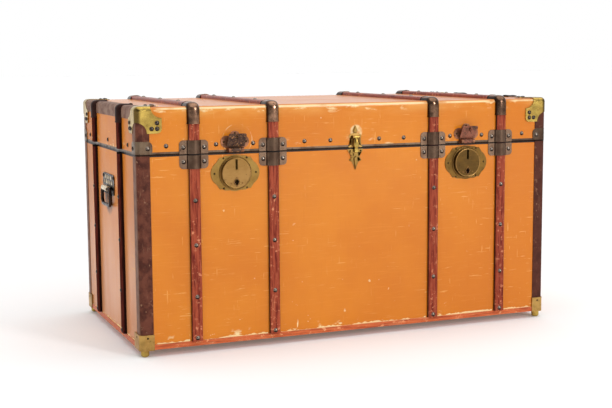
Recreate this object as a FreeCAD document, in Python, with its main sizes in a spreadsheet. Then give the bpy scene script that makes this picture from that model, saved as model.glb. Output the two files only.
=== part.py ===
"""Wooden travel trunk with a hinged lid, hardwood slats and metal fittings.

Millimetres, +Z up. The origin is on the floor under the middle of the case, the front faces -Y,
and the trunk's length runs along X. Each fitting is drawn once in a frame of its own, with x to the
right, y up and z out of the face that it sits on, and is then seated on that face.
"""
import FreeCAD, Part
import os
import re

SIZES = {
    # Case
    "trunk_width": 1000,
    "trunk_depth": 520,
    "foot_height": 16,
    "body_height": 414,
    "lid_height": 102,
    "corner_radius": 8,
    "cover_sheet": 1.5,
    "board_thickness": 10,
    "bottom_thickness": 8,
    "lining_sheet": 1,
    "seam_gap": 0.6,
    "rim_height": 7,
    # Base rails and the lip that guides the lid
    "rail_height": 11,
    "rail_depth": 24,
    "rail_proud": 2,
    "lip_thickness": 5,
    "lip_rise": 12,
    "lip_drop": 33,
    "lip_clearance": 2,
    # Bindings, corner clips and corner caps
    "binding_sheet": 1.2,
    "binding_width": 28,
    "end_binding_width": 26,
    "clip_sheet": 1.6,
    "clip_leg": 34,
    "clip_height": 30,
    "clip_end_round": 11,
    "cap_sheet": 1.2,
    "cap_arch": 23,
    "cap_reach": 55,
    "cap_ear_round": 10,
    "foot_cap_leg": 29,
    "foot_cap_end_leg": 44,
    "foot_cap_height": 33,
    "stud_radius": 9,
    "stud_round": 5,
    "stud_inset": 11,
    # Slats, their clamps and their elbow caps
    "slat_width": 24,
    "slat_thickness": 8,
    "slat_round": 4,
    "slat_inset": 12,
    "outer_slat_inset": 124,
    "inner_slat_inset": 303,
    "end_slat": 124,
    "clamp_width": 64,
    "clamp_height": 30,
    "clamp_sheet": 1.6,
    "clamp_corner": 9,
    "clamp_gap": 1.2,
    "saddle_radius": 18.4,
    "saddle_rise": 10.8,
    "elbow_sheet": 1.6,
    "elbow_drop": 37,
    "elbow_run": 37,
    "elbow_edge": 7,
    # Nails, rivets and pins
    "nail_radius": 5,
    "nail_rise": 3,
    "nail_length": 7,
    "rivet_radius": 5,
    "rivet_rise": 2.6,
    "rivet_length": 6,
    "pin_radius": 2.3,
    "pin_rise": 1.2,
    "pin_length": 6,
    "shank_radius": 1.2,
    "row_height": 20,
    "row_corner_inset": 64,
    "row_outer_inset": 174,
    "row_lock_inset": 258,
    "row_inner_inset": 378,
    "row_middle": 60,
    "row_end": 188,
    "slat_nail_high": 316,
    "slat_nail_middle": 220,
    "slat_nail_low": 108,
    "slat_nail_toe": 18,
    "top_nail_spread": 150,
    # Locks
    "lock_inset": 216,
    "lock_drop": 43,
    "lock_sheet": 1.6,
    "lock_step": 1.2,
    "lock_radius": 39,
    "lock_shoulder": 31,
    "lock_shoulder_round": 10,
    "lock_shoulder_height": 37,
    "lock_waist": 49,
    "lock_waist_rise": 14,
    "lock_waist_top": 35,
    "lock_waist_top_rise": 34,
    "lock_lobe_radius": 28,
    "lock_lobe_place": 27,
    "lock_pin_place": 47,
    "drum_radius": 32.5,
    "drum_collar": 2.5,
    "drum_height": 8,
    "drum_wall": 1.5,
    "drum_edge": 1.2,
    "slot_drop": 24,
    "slot_length": 22,
    "slot_width": 5,
    "keyhole_drop": 60,
    "keyhole_radius": 2.6,
    "keyhole_stem": 8,
    "keyhole_stem_width": 3,
    "bolt_size": 3,
    "bolt_length": 18,
    "bolt_back": 3,
    "bolt_clearance": 0.3,
    "guide_length": 4,
    "guide_wall": 1.4,
    "guide_near": 7,
    "guide_far": 12.5,
    # Hasps
    "hasp_sheet": 1.6,
    "hasp_plate_sheet": 1.6,
    "hasp_clearance": 0.5,
    "hasp_lean": 30,
    "hasp_pin_rise": 6.5,
    "hasp_pin_radius": 1.6,
    "hasp_knuckle_half": 11,
    "hasp_lug": 6,
    "hasp_leaf_half": 20,
    "hasp_tip": 7,
    "hasp_corner": 4,
    "staple_sheet": 2.2,
    "staple_half": 5,
    "staple_wall": 0.8,
    "trefoil_lobe": 13,
    "trefoil_side": 19,
    "trefoil_side_rise": 24,
    "trefoil_top_lobe": 12,
    "trefoil_top_rise": 35,
    "trefoil_foot": 2,
    # Centre catch
    "catch_sheet": 1.8,
    "catch_half": 9,
    "catch_flare": 17,
    "catch_foot": 2,
    "catch_rise": 33,
    "catch_ear": 5,
    "catch_ear_place": 10,
    "catch_ear_rise": 26,
    "catch_pin_place": 11.5,
    "catch_pin_rise": 9,
    "catch_leaf_foot": 3,
    "catch_leaf_half": 6,
    "catch_leaf_rise": 39,
    "catch_tip_half": 0.6,
    "catch_tip_rise": 51,
    "catch_pivot_rise": 25,
    "catch_pivot_out": 6.5,
    "catch_pivot_radius": 1.5,
    "catch_knuckle": 3.4,
    "catch_knuckle_half": 5,
    "catch_lug": 3,
    "bulb_half": 7,
    "bulb_length": 13,
    "bulb_depth": 4.5,
    "bulb_drop": 13,
    "tongue_half": 3.5,
    "tongue_sheet": 2,
    "tongue_drop": 34,
    "keeper_gap": 1.5,
    "keeper_half": 20,
    "keeper_waist": 10,
    "keeper_waist_drop": 19,
    "keeper_barb": 15,
    "keeper_barb_drop": 27,
    "keeper_neck": 7,
    "keeper_neck_drop": 31,
    "keeper_tip_drop": 48,
    "keeper_pin_place": 13,
    "keeper_pin_drop": 6,
    "strike_half": 5,
    "strike_length": 5,
    "strike_out": 6,
    "strike_clearance": 2,
    # End handles
    "handle_drop": 91,
    "handle_sheet": 1.8,
    "handle_half": 55,
    "handle_above": 33,
    "handle_below": 14,
    "handle_corner": 10,
    "handle_rivet_edge": 7,
    "barrel_inset": 30,
    "barrel_wall": 2.4,
    "bail_radius": 4,
    "bail_inset": 14,
    "bail_drop": 38,
    "bail_corner": 14,
    "bail_clearance": 1.7,
    # Hinges
    "hinge_inset": 213,
    "hinge_sheet": 2,
    "hinge_half": 25,
    "hinge_start": 4,
    "hinge_leaf": 48,
    "hinge_clearance": 1,
    "hinge_knuckle": 4.5,
    "hinge_middle_half": 8.7,
    "hinge_side_gap": 0.3,
    "hinge_arm": 8,
    "hinge_stop_depth": 8,
    "hinge_stop_gap": 1.6,
    "hinge_pin_radius": 2.4,
    "hinge_rivet_place": 16,
    "hinge_rivet_rise": 36,
    # Running fits
    "pivot_fit": 0.06,
}

FLAT = 1e-6
OVERHANG = 30

SEAM = "(foot_height + body_height)"
LID_FOOT = "(foot_height + body_height + seam_gap)"
LID_TOP = "(foot_height + body_height + lid_height)"
BASE_TOP = "(foot_height + rail_height)"
FLOOR_TOP = "(foot_height + rail_height + bottom_thickness)"
ROOF = "(foot_height + body_height + lid_height - cover_sheet - board_thickness)"
HALF_WIDTH = "(trunk_width / 2)"
HALF_DEPTH = "(trunk_depth / 2)"
BOARD_WIDTH = "(trunk_width / 2 - cover_sheet)"
BOARD_DEPTH = "(trunk_depth / 2 - cover_sheet)"
INNER_WIDTH = "(trunk_width / 2 - cover_sheet - board_thickness)"
INNER_DEPTH = "(trunk_depth / 2 - cover_sheet - board_thickness)"
SLAT_OUT = "(slat_thickness + elbow_sheet)"
OUTER_SLAT = "(trunk_width / 2 - outer_slat_inset)"
INNER_SLAT = "(trunk_width / 2 - inner_slat_inset)"
LOCK_PLACE = "(trunk_width / 2 - lock_inset)"
HINGE_PLACE = "(trunk_width / 2 - hinge_inset)"

DRUM_FOOT = "(lock_sheet + lock_step)"
DRUM_FACE = "(lock_sheet + lock_step + drum_height)"
BOLT_RISE = "(lock_sheet + lock_step + (drum_height - drum_wall) / 2)"
SLOT_RISE = "(lock_drop - slot_drop)"
HASP_LEAF_OUT = f"(({DRUM_FACE} - hasp_sheet - hasp_plate_sheet) / 2)"
HASP_KNUCKLE = f"({HASP_LEAF_OUT} + hasp_sheet)"
HASP_PIN_OUT = f"({HASP_LEAF_OUT} + hasp_sheet + hasp_plate_sheet + hasp_clearance)"
STAPLE_DROP = "(hasp_pin_rise + seam_gap + slot_drop)"
BARREL_OUT = "(handle_sheet + bail_clearance + bail_radius)"
BARREL_RADIUS = "(bail_radius + barrel_wall)"
BARREL_HALF = "(handle_half - barrel_inset)"
BAIL_HALF = "(handle_half - bail_inset)"
HINGE_OUT = "(slat_thickness + hinge_clearance)"

RIGHT = FreeCAD.Vector(1, 0, 0)
BACK = FreeCAD.Vector(0, 1, 0)
UP = FreeCAD.Vector(0, 0, 1)
UNTURNED = FreeCAD.Rotation()
ALONG_X = FreeCAD.Rotation(BACK, 90)
ABOUT = FreeCAD.Rotation(UP, 180)
FRONT_TURN = FreeCAD.Rotation(RIGHT, UP, -BACK, "ZXY")
BACK_TURN = FreeCAD.Rotation(-RIGHT, UP, BACK, "ZXY")
LEFT_TURN = FreeCAD.Rotation(-BACK, UP, -RIGHT, "ZXY")
RIGHT_TURN = FreeCAD.Rotation(BACK, UP, RIGHT, "ZXY")

SIDES = (-1, 1)
CORNERS = [(across, along) for across in SIDES for along in SIDES]
SLATS = [f"{side} * {place}" for side in SIDES for place in (OUTER_SLAT, INNER_SLAT)]
HINGES = (f"-{HINGE_PLACE}", "0", HINGE_PLACE)

doc = FreeCAD.newDocument("travel_trunk")
sheet = doc.addObject("Spreadsheet::Sheet", "dims")
for row, (alias, value) in enumerate(SIZES.items(), start=1):
    sheet.set(f"A{row}", alias)
    sheet.set(f"B{row}", str(value))
    sheet.setAlias(f"B{row}", alias)
doc.recompute()

WORD = re.compile(r"[a-z_]+")
NODES = []


# Document helpers


def bind(item, prop, formula):
    """Bind a property to a formula over the sheet's aliases."""

    def cell(match):
        return f"dims.{match.group()}" if match.group() in SIZES else match.group()

    item.setExpression(prop, WORD.sub(cell, formula))


def place(item, turn=UNTURNED, at=("0", "0", "0")):
    item.Placement = FreeCAD.Placement(FreeCAD.Vector(), turn)
    for axis, formula in zip("xyz", at):
        bind(item, f"Placement.Base.{axis}", formula)
    return item


def both_ways(half):
    return f"-({half})", half


def mirrored(side, near, far):
    """The span from near to far on the positive side, or its mirror image."""
    return (near, far) if side > 0 else (f"-({far})", f"-({near})")


def box(name, *spans):
    """A block from its three (start, end) spans."""
    item = doc.addObject("Part::Box", name)
    for prop, (start, end) in zip(("Length", "Width", "Height"), spans):
        bind(item, prop, f"({end}) - ({start})")
    return place(item, at=[start for start, end in spans])


def cylinder(name, radius, length, turn=UNTURNED, at=("0", "0", "0")):
    item = doc.addObject("Part::Cylinder", name)
    bind(item, "Radius", radius)
    bind(item, "Height", length)
    return place(item, turn, at)


def rod(name, radius, half, y, z):
    """A cylinder along x, centred on x = 0."""
    return cylinder(name, radius, f"2 * ({half})", ALONG_X, (f"-({half})", y, z))


def fuse(name, shapes):
    item = doc.addObject("Part::MultiFuse", name)
    item.Shapes = shapes
    return item


def cut(name, base, *tools):
    for number, tool in enumerate(tools):
        item = doc.addObject("Part::Cut", f"{name}_{number}")
        item.Base = base
        item.Tool = tool
        base = item
    return base


def common(name, base, tool):
    item = doc.addObject("Part::Common", name)
    item.Base = base
    item.Tool = tool
    return item


def compound(name, pieces):
    item = doc.addObject("Part::Compound", name)
    item.Links = pieces
    return item


def rounded(base, radius, pick):
    """Round the edges that pick(edge box, whole box) chooses."""
    doc.recompute()
    whole = base.Shape.BoundBox
    item = doc.addObject("Part::Fillet", f"{base.Name}_rounded")
    item.Base = base
    edges = enumerate(base.Shape.Edges, start=1)
    item.Edges = [(number, radius, radius) for number, edge in edges if pick(edge.BoundBox, whole)]
    return item


def upright(edge, whole):
    return edge.ZLength > FLAT


def upright_or_top(edge, whole):
    return edge.ZLength > FLAT or edge.ZMin > whole.ZMax - FLAT


def front_upright(edge, whole):
    return edge.ZLength > FLAT and edge.YMax < whole.YMin + FLAT


def back_upright(edge, whole):
    return edge.ZLength > FLAT and edge.YMin > whole.YMax - FLAT


def body(name):
    return doc.addObject("PartDesign::Body", name)


def feature(owner, kind, name, at=("0", "0", "0"), turn=UNTURNED, **sizes):
    """Add a primitive feature to a body, with its sizes and place bound to formulas."""
    item = owner.newObject(f"PartDesign::{kind}", name)
    for prop, formula in sizes.items():
        bind(item, prop, formula)
    return place(item, turn, at)


def block(owner, kind, name, *spans):
    sizes = {prop: f"({end}) - ({start})" for prop, (start, end) in zip(("Length", "Width", "Height"), spans)}
    return feature(owner, kind, name, at=[start for start, end in spans], **sizes)


def dress(owner, base, name, radius, pick):
    """Round a body's edges that pick(edge box, whole box) chooses."""
    doc.recompute()
    whole = base.Shape.BoundBox
    item = owner.newObject("PartDesign::Fillet", name)
    edges = enumerate(base.Shape.Edges, start=1)
    item.Base = (base, [f"Edge{number}" for number, edge in edges if pick(edge.BoundBox, whole)])
    bind(item, "Radius", radius)
    doc.recompute()
    return item


def link(master, turn=UNTURNED, at=("0", "0", "0")):
    item = doc.addObject("App::Link", f"{master.Name}_link")
    item.LinkedObject = master
    item.LinkTransform = True
    return place(item, turn, at)


def node(label, item):
    item.Label = label
    NODES.append(item)
    return item


def group(label, pieces):
    return node(label, compound(f"{label}_group", pieces))


# Places on the faces of the case, each a turn and a position


def on_front(x, z, out="0"):
    return FRONT_TURN, (x, f"-{HALF_DEPTH} - ({out})", z)


def on_back(x, z, out="0"):
    return BACK_TURN, (x, f"{HALF_DEPTH} + ({out})", z)


def on_left(y, z, out="0"):
    return LEFT_TURN, (f"-{HALF_WIDTH} - ({out})", y, z)


def on_right(y, z, out="0"):
    return RIGHT_TURN, (f"{HALF_WIDTH} + ({out})", y, z)


def on_top(x, y, out="0"):
    return UNTURNED, (x, y, f"{LID_TOP} + ({out})")


def on_long_face(side, x, z, out="0"):
    return on_front(x, z, out) if side < 0 else on_back(x, z, out)


def on_end(side, y, z, out="0"):
    return on_left(y, z, out) if side < 0 else on_right(y, z, out)


# Blocks with the plan of the case


def case_block(name, grow, bottom, top, crowned=False):
    """The case's plan grown outward, upright edges rounded, and the top edges too where crowned."""
    across = both_ways(f"{HALF_WIDTH} + ({grow})")
    along = both_ways(f"{HALF_DEPTH} + ({grow})")
    raw = box(name, across, along, (bottom, top))
    doc.recompute()
    radius = SIZES["corner_radius"] + (raw.Length.Value - SIZES["trunk_width"]) / 2
    return rounded(raw, radius, upright_or_top if crowned else upright)


def corner_blocks(name, reach, end_reach, bottom, top):
    """Four blocks, each holding one upright corner: their reach along the front and along the ends."""
    pieces = []
    for across, along in CORNERS:
        wide = mirrored(across, f"{HALF_WIDTH} - {reach}", f"{HALF_WIDTH} + {OVERHANG}")
        deep = mirrored(along, f"{HALF_DEPTH} - {end_reach}", f"{HALF_DEPTH} + {OVERHANG}")
        pieces.append(box(f"{name}_corner", wide, deep, (bottom, top)))
    return compound(f"{name}_corners", pieces)


def corner_angles(label, sheet_name, reach, bottom, top):
    """Four angle strips bent round the upright corners."""
    outer = case_block(f"{label}_outer", sheet_name, bottom, top)
    inner = case_block(f"{label}_inner", "0", bottom, top)
    ring = cut(f"{label}_ring", outer, inner)
    return common(f"{label}_strips", ring, corner_blocks(label, reach, reach, bottom, top))


# Boards, coverings and linings


def make_walls(prefix, bottom, top):
    """Front and back boards over the full width, with the end boards between them."""
    corner = SIZES["corner_radius"] - SIZES["cover_sheet"]
    height = (bottom, top)
    for side, name, pick in ((-1, "front", front_upright), (1, "back", back_upright)):
        deep = mirrored(side, INNER_DEPTH, BOARD_DEPTH)
        raw = box(f"{prefix}_{name}_raw", both_ways(BOARD_WIDTH), deep, height)
        node(f"{prefix}_{name}_board", rounded(raw, corner, pick))
    for side, name in ((-1, "left"), (1, "right")):
        wide = mirrored(side, INNER_WIDTH, BOARD_WIDTH)
        node(f"{prefix}_{name}_board", box(f"{prefix}_{name}", wide, both_ways(INNER_DEPTH), height))


def make_base():
    inner = (both_ways(INNER_WIDTH), both_ways(INNER_DEPTH))
    node("bottom_board", box("bottom_board", *inner, (BASE_TOP, FLOOR_TOP)))
    rail = ("foot_height", BASE_TOP)
    outer = case_block("rail_outer", "rail_proud", *rail)
    far_width = f"{HALF_WIDTH} + {OVERHANG}"
    far_depth = f"{HALF_DEPTH} + {OVERHANG}"
    near_width = f"{HALF_WIDTH} - rail_depth"
    near_depth = f"{HALF_DEPTH} - rail_depth"
    rails = []
    for side in SIDES:
        long_zone = box("long_zone", both_ways(far_width), mirrored(side, near_depth, far_depth), rail)
        rails.append(common("long_rail", outer, long_zone))
        end_zone = box("end_zone", mirrored(side, near_width, far_width), both_ways(near_depth), rail)
        rails.append(common("end_rail", outer, end_zone))
    group("base_rails", rails)


def make_body_skins():
    outer = case_block("body_cover_outer", "0", BASE_TOP, SEAM)
    inner = case_block("body_cover_inner", "-cover_sheet", BASE_TOP, SEAM)
    node("body_covering", cut("body_covering", outer, inner))
    shell = box("body_lining_outer", both_ways(INNER_WIDTH), both_ways(INNER_DEPTH), (FLOOR_TOP, SEAM))
    wide = both_ways(f"{INNER_WIDTH} - lining_sheet")
    deep = both_ways(f"{INNER_DEPTH} - lining_sheet")
    hollow = box("body_lining_inner", wide, deep, (f"{FLOOR_TOP} + lining_sheet", SEAM))
    node("body_lining", cut("body_lining", shell, hollow))


def make_lip():
    """Four strips inside the body that stand up into the lid."""
    height = (f"{SEAM} - lip_drop", f"{SEAM} + lip_rise")
    face_width = f"{INNER_WIDTH} - lining_sheet"
    face_depth = f"{INNER_DEPTH} - lining_sheet"
    strips = []
    for side in SIDES:
        deep = mirrored(side, f"{face_depth} - lip_thickness", face_depth)
        strips.append(box("long_lip", both_ways(face_width), deep, height))
        wide = mirrored(side, f"{face_width} - lip_thickness", face_width)
        strips.append(box("end_lip", wide, both_ways(f"{face_depth} - lip_thickness"), height))
    group("body_lip_strips", strips)


def make_lid_case():
    tall = (ROOF, f"{ROOF} + board_thickness")
    raw = box("lid_top_raw", both_ways(BOARD_WIDTH), both_ways(BOARD_DEPTH), tall)
    corner = SIZES["corner_radius"] - SIZES["cover_sheet"]
    node("lid_top_board", rounded(raw, corner, upright_or_top))
    make_walls("lid", LID_FOOT, ROOF)
    rim_top = f"{LID_FOOT} + rim_height"
    outer = case_block("lid_cover_outer", "0", rim_top, LID_TOP, crowned=True)
    inner = case_block("lid_cover_inner", "-cover_sheet", rim_top, f"{LID_TOP} - cover_sheet", crowned=True)
    node("lid_covering", cut("lid_covering", outer, inner))
    rim_outer = case_block("rim_outer", "0", LID_FOOT, rim_top)
    rim_inner = case_block("rim_inner", "-cover_sheet", LID_FOOT, rim_top)
    node("lid_rim_band", cut("lid_rim_band", rim_outer, rim_inner))
    foot = f"{SEAM} + lip_rise + lip_clearance"
    shell = box("lid_lining_outer", both_ways(INNER_WIDTH), both_ways(INNER_DEPTH), (foot, ROOF))
    wide = both_ways(f"{INNER_WIDTH} - lining_sheet")
    deep = both_ways(f"{INNER_DEPTH} - lining_sheet")
    hollow = box("lid_lining_inner", wide, deep, (foot, f"{ROOF} - lining_sheet"))
    node("lid_lining", cut("lid_lining", shell, hollow))


# Bindings, clips, corner caps and feet


def make_bindings():
    """Brown strips over the corners, and steel clips where the lid's corners meet the seam."""
    shoe_top = "foot_height + foot_cap_height"
    lower = corner_angles("body_binding", "binding_sheet", "binding_width", shoe_top, SEAM)
    node("body_corner_bindings", lower)
    clip_top = f"{LID_FOOT} + clip_height"
    band_foot = f"{LID_TOP} - end_binding_width"
    upper = corner_angles("lid_binding", "binding_sheet", "binding_width", clip_top, band_foot)
    node("lid_corner_bindings", upper)
    clips = corner_angles("clip", "clip_sheet", "clip_leg", LID_FOOT, clip_top)

    def free_corner(edge, whole):
        lengths = sorted((edge.XLength, edge.YLength, edge.ZLength))
        return lengths[1] < FLAT and lengths[2] < SIZES["clip_sheet"] + FLAT

    node("lid_corner_clips", rounded(clips, SIZES["clip_end_round"], free_corner))
    outer = case_block("band_outer", "binding_sheet", band_foot, f"{LID_TOP} + binding_sheet", crowned=True)
    inner = case_block("band_inner", "0", f"{band_foot} - binding_sheet", LID_TOP, crowned=True)
    shell = cut("band_shell", outer, inner)
    zones = []
    for side in SIDES:
        wide = mirrored(side, f"{HALF_WIDTH} - end_binding_width", f"{HALF_WIDTH} + {OVERHANG}")
        deep = both_ways(f"{HALF_DEPTH} + {OVERHANG}")
        zones.append(box("band_zone", wide, deep, (band_foot, f"{LID_TOP} + {OVERHANG}")))
    return node("lid_end_bindings", common("lid_end_bindings", shell, compound("band_zones", zones)))


def make_lid_corner_caps():
    """Pressed brass corners: one ear on each of the three faces, arched where an edge leaves the cap."""
    foot = f"{LID_TOP} - cap_reach - cap_arch"
    grown = "binding_sheet + cap_sheet"
    outer = case_block("cap_outer", grown, foot, f"{LID_TOP} + {grown}", crowned=True)
    inner_top = f"{LID_TOP} + binding_sheet"
    inner = case_block("cap_inner", "binding_sheet", f"{foot} - cap_sheet", inner_top, crowned=True)
    shell = cut("cap_shell", outer, inner)

    def ear_corner(edge, whole):
        near_x = min(abs(whole.XMin), abs(whole.XMax))
        near_y = min(abs(whole.YMin), abs(whole.YMax))
        at_x = max(abs(edge.XMin), abs(edge.XMax)) < near_x + FLAT
        at_y = max(abs(edge.YMin), abs(edge.YMax)) < near_y + FLAT
        at_foot = edge.ZMax < whole.ZMin + FLAT
        return [at_x, at_y, at_foot].count(True) == 2

    zones = []
    for across, along in CORNERS:
        wide = mirrored(across, f"{HALF_WIDTH} - cap_reach", f"{HALF_WIDTH} + {OVERHANG}")
        deep = mirrored(along, f"{HALF_DEPTH} - cap_reach", f"{HALF_DEPTH} + {OVERHANG}")
        raw = box("cap_zone", wide, deep, (f"{LID_TOP} - cap_reach", f"{LID_TOP} + {OVERHANG}"))
        zone = rounded(raw, SIZES["cap_ear_round"], ear_corner)
        at_width = f"{across} * {HALF_WIDTH}"
        at_depth = f"{along} * {HALF_DEPTH}"
        centres = [
            (at_width, at_depth, f"{LID_TOP} - cap_reach"),
            (f"{across} * ({HALF_WIDTH} - cap_reach)", at_depth, LID_TOP),
            (at_width, f"{along} * ({HALF_DEPTH} - cap_reach)", LID_TOP),
        ]
        for centre in centres:
            arch = doc.addObject("Part::Sphere", "cap_arch")
            bind(arch, "Radius", "cap_arch")
            place(arch, at=centre)
            zone = cut("cap_zone_arched", zone, arch)
        zones.append(zone)
    node("lid_corner_caps", common("lid_corner_caps", shell, compound("cap_zones", zones)))


def make_feet():
    """Brass shoes under the lower corners, each on a round stud with a flat tread."""
    sole = "foot_height - cap_sheet"
    top = "foot_height + foot_cap_height"
    outer = case_block("shoe_outer", "rail_proud + cap_sheet", sole, top)
    wall = case_block("shoe_wall", "0", "foot_height", top)
    rail = case_block("shoe_rail", "rail_proud", "foot_height", BASE_TOP)
    shell = cut("shoe_shell", outer, wall, rail)
    zones = corner_blocks("shoe", "foot_cap_leg", "foot_cap_end_leg", sole, top)
    node("bottom_corner_caps", common("bottom_corner_caps", shell, zones))
    stud = body("stud")
    barrel = feature(stud, "AdditiveCylinder", "stud_barrel", Radius="stud_radius", Height=sole)
    dress(stud, barrel, "stud_dome", "stud_round", lambda edge, whole: edge.ZMax < whole.ZMin + FLAT)
    places = [
        (f"{across} * ({HALF_WIDTH} - stud_inset)", f"{along} * ({HALF_DEPTH} - stud_inset)", "0")
        for across, along in CORNERS
    ]
    group("foot_studs", [link(stud, at=at) for at in places])


# Slats with their clamps and caps


def slat(name, length):
    """A flat bar along y with its two outer long edges rounded."""
    bar = body(name)
    spans = (both_ways("slat_width / 2"), ("0", length), ("0", "slat_thickness"))
    stock = block(bar, "AdditiveBox", f"{name}_stock", *spans)

    def outer_long(edge, whole):
        return edge.YLength > FLAT and edge.ZMin > whole.ZMax - FLAT

    dress(bar, stock, f"{name}_round", "slat_round", outer_long)
    return bar


def clamp(held_bar):
    """A pressed saddle below the seam: two ears and a half-round arch over the slat's end."""
    height = ("-clamp_height", "-clamp_gap")
    across = both_ways("clamp_width / 2")

    def lower_corner(edge, whole):
        return edge.ZLength > FLAT and edge.YMax < whole.YMin + FLAT

    flat = box("clamp_ears", across, height, ("0", "clamp_sheet"))
    ears = rounded(flat, SIZES["clamp_corner"], lower_corner)
    arch_at = ("0", "-clamp_gap", "saddle_rise - saddle_radius")
    arch = cylinder("clamp_arch", "saddle_radius", "clamp_height - clamp_gap", FRONT_TURN, arch_at)
    under = box("clamp_underside", across, height, ("-2 * saddle_radius", "0"))
    held = link(held_bar, at=("0", "-2 * clamp_height", "0"))
    return cut("clamp", fuse("clamp_stock", [ears, arch]), under, held)


def make_slats(end_bindings):
    body_slat = slat("body_slat", f"{SEAM} - {BASE_TOP}")
    lid_slat = slat("lid_slat", f"{LID_TOP} - slat_inset - {LID_FOOT}")
    top_slat = slat("top_slat", "trunk_depth - 2 * slat_inset")
    end_foot = f"{LID_FOOT} + rim_height"
    lid_end_slat = slat("lid_end_slat", f"{LID_TOP} - end_binding_width - ({end_foot})")
    ends = [(side, f"{place} * end_slat") for side in SIDES for place in SIDES]
    top_start = f"-{HALF_DEPTH} + slat_inset"

    group("front_slats", [link(body_slat, *on_front(x, BASE_TOP)) for x in SLATS])
    group("back_slats", [link(body_slat, *on_back(x, BASE_TOP)) for x in SLATS])
    group("end_slats", [link(body_slat, *on_end(side, y, BASE_TOP)) for side, y in ends])
    lid_places = [on_long_face(side, x, LID_FOOT) for side in SIDES for x in SLATS]
    group("lid_face_slats", [link(lid_slat, *place_on) for place_on in lid_places])
    group("lid_top_slats", [link(top_slat, *on_top(x, top_start)) for x in SLATS])
    group("lid_end_slats", [link(lid_end_slat, *on_end(side, y, end_foot)) for side, y in ends])

    saddle = clamp(body_slat)
    flipped = FRONT_TURN.multiply(ABOUT)
    group("body_slat_clamps", [link(saddle, *on_front(x, SEAM)) for x in SLATS])
    group("lid_slat_clamps", [link(saddle, flipped, on_front(x, LID_FOOT)[1]) for x in SLATS])

    lid_block = case_block("lid_block", "0", LID_FOOT, LID_TOP, crowned=True)
    face_slat = link(lid_slat, *on_front("0", LID_FOOT))
    elbow = elbow_cap(lid_block, face_slat, link(top_slat, *on_top("0", top_start)))
    turns = {-1: UNTURNED, 1: ABOUT}
    group("slat_elbow_caps", [link(elbow, turns[side], (x, "0", "0")) for side in SIDES for x in SLATS])
    cap = end_cap(lid_block, link(lid_end_slat, *on_left("0", end_foot)), end_bindings)
    group("end_elbow_caps", [link(cap, turns[side], ("0", y, "0")) for side, y in ends])


def elbow_cap(lid_block, face_slat, top_slat):
    """A bent steel cap over the front top edge, holding the ends of two slats."""
    deep = (f"-{HALF_DEPTH} - {SLAT_OUT}", f"-{HALF_DEPTH} + elbow_run")
    tall = (f"{LID_TOP} - elbow_drop", f"{LID_TOP} + {SLAT_OUT}")
    raw = box("elbow", both_ways("slat_width / 2 + elbow_sheet"), deep, tall)
    bend = SIZES["corner_radius"] + SIZES["slat_thickness"] + SIZES["elbow_sheet"]

    def outer_edge(edge, whole):
        return edge.XLength > FLAT and edge.YMax < whole.YMin + FLAT and edge.ZMin > whole.ZMax - FLAT

    def outer_rim(edge, whole):
        at_end = edge.ZMax < whole.ZMin + FLAT or edge.YMin > whole.YMax - FLAT
        outside = edge.YMin < whole.YMin + FLAT or edge.ZMax > whole.ZMax - FLAT
        return edge.XLength < FLAT and outside and not at_end

    bent = rounded(raw, bend, outer_edge)
    return cut("elbow_cap", rounded(bent, SIZES["elbow_edge"], outer_rim), lid_block, face_slat, top_slat)


def end_cap(lid_block, face_slat, end_bindings):
    """A steel cap over the lid's end edge, holding the top of one end slat."""
    wide = (f"-{HALF_WIDTH} - {SLAT_OUT}", f"-{HALF_WIDTH} + end_binding_width")
    tall = (f"{LID_TOP} - elbow_drop", f"{LID_TOP} + binding_sheet + elbow_sheet")
    raw = box("end_cap", wide, both_ways("slat_width / 2 + elbow_sheet"), tall)
    bend = SIZES["corner_radius"] + SIZES["binding_sheet"] + SIZES["elbow_sheet"]

    def outer_edge(edge, whole):
        return edge.YLength > FLAT and edge.XMax < whole.XMin + FLAT and edge.ZMin > whole.ZMax - FLAT

    return cut("end_elbow_cap", rounded(raw, bend, outer_edge), lid_block, face_slat, end_bindings)


# Locks, hasps and the centre catch


def taper(name, sheet, foot, top, low, high):
    """A piece of sheet that tapers from one half width at its foot to another at its top."""
    item = doc.addObject("Part::Wedge", name)
    limits = {
        "Xmin": f"-{foot}", "Xmax": foot, "X2min": f"-{top}", "X2max": top, "Ymin": low, "Ymax": high,
        "Zmin": "0", "Zmax": sheet, "Z2min": "0", "Z2max": sheet,
    }
    for prop, formula in limits.items():
        bind(item, prop, formula)
    return item


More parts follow.
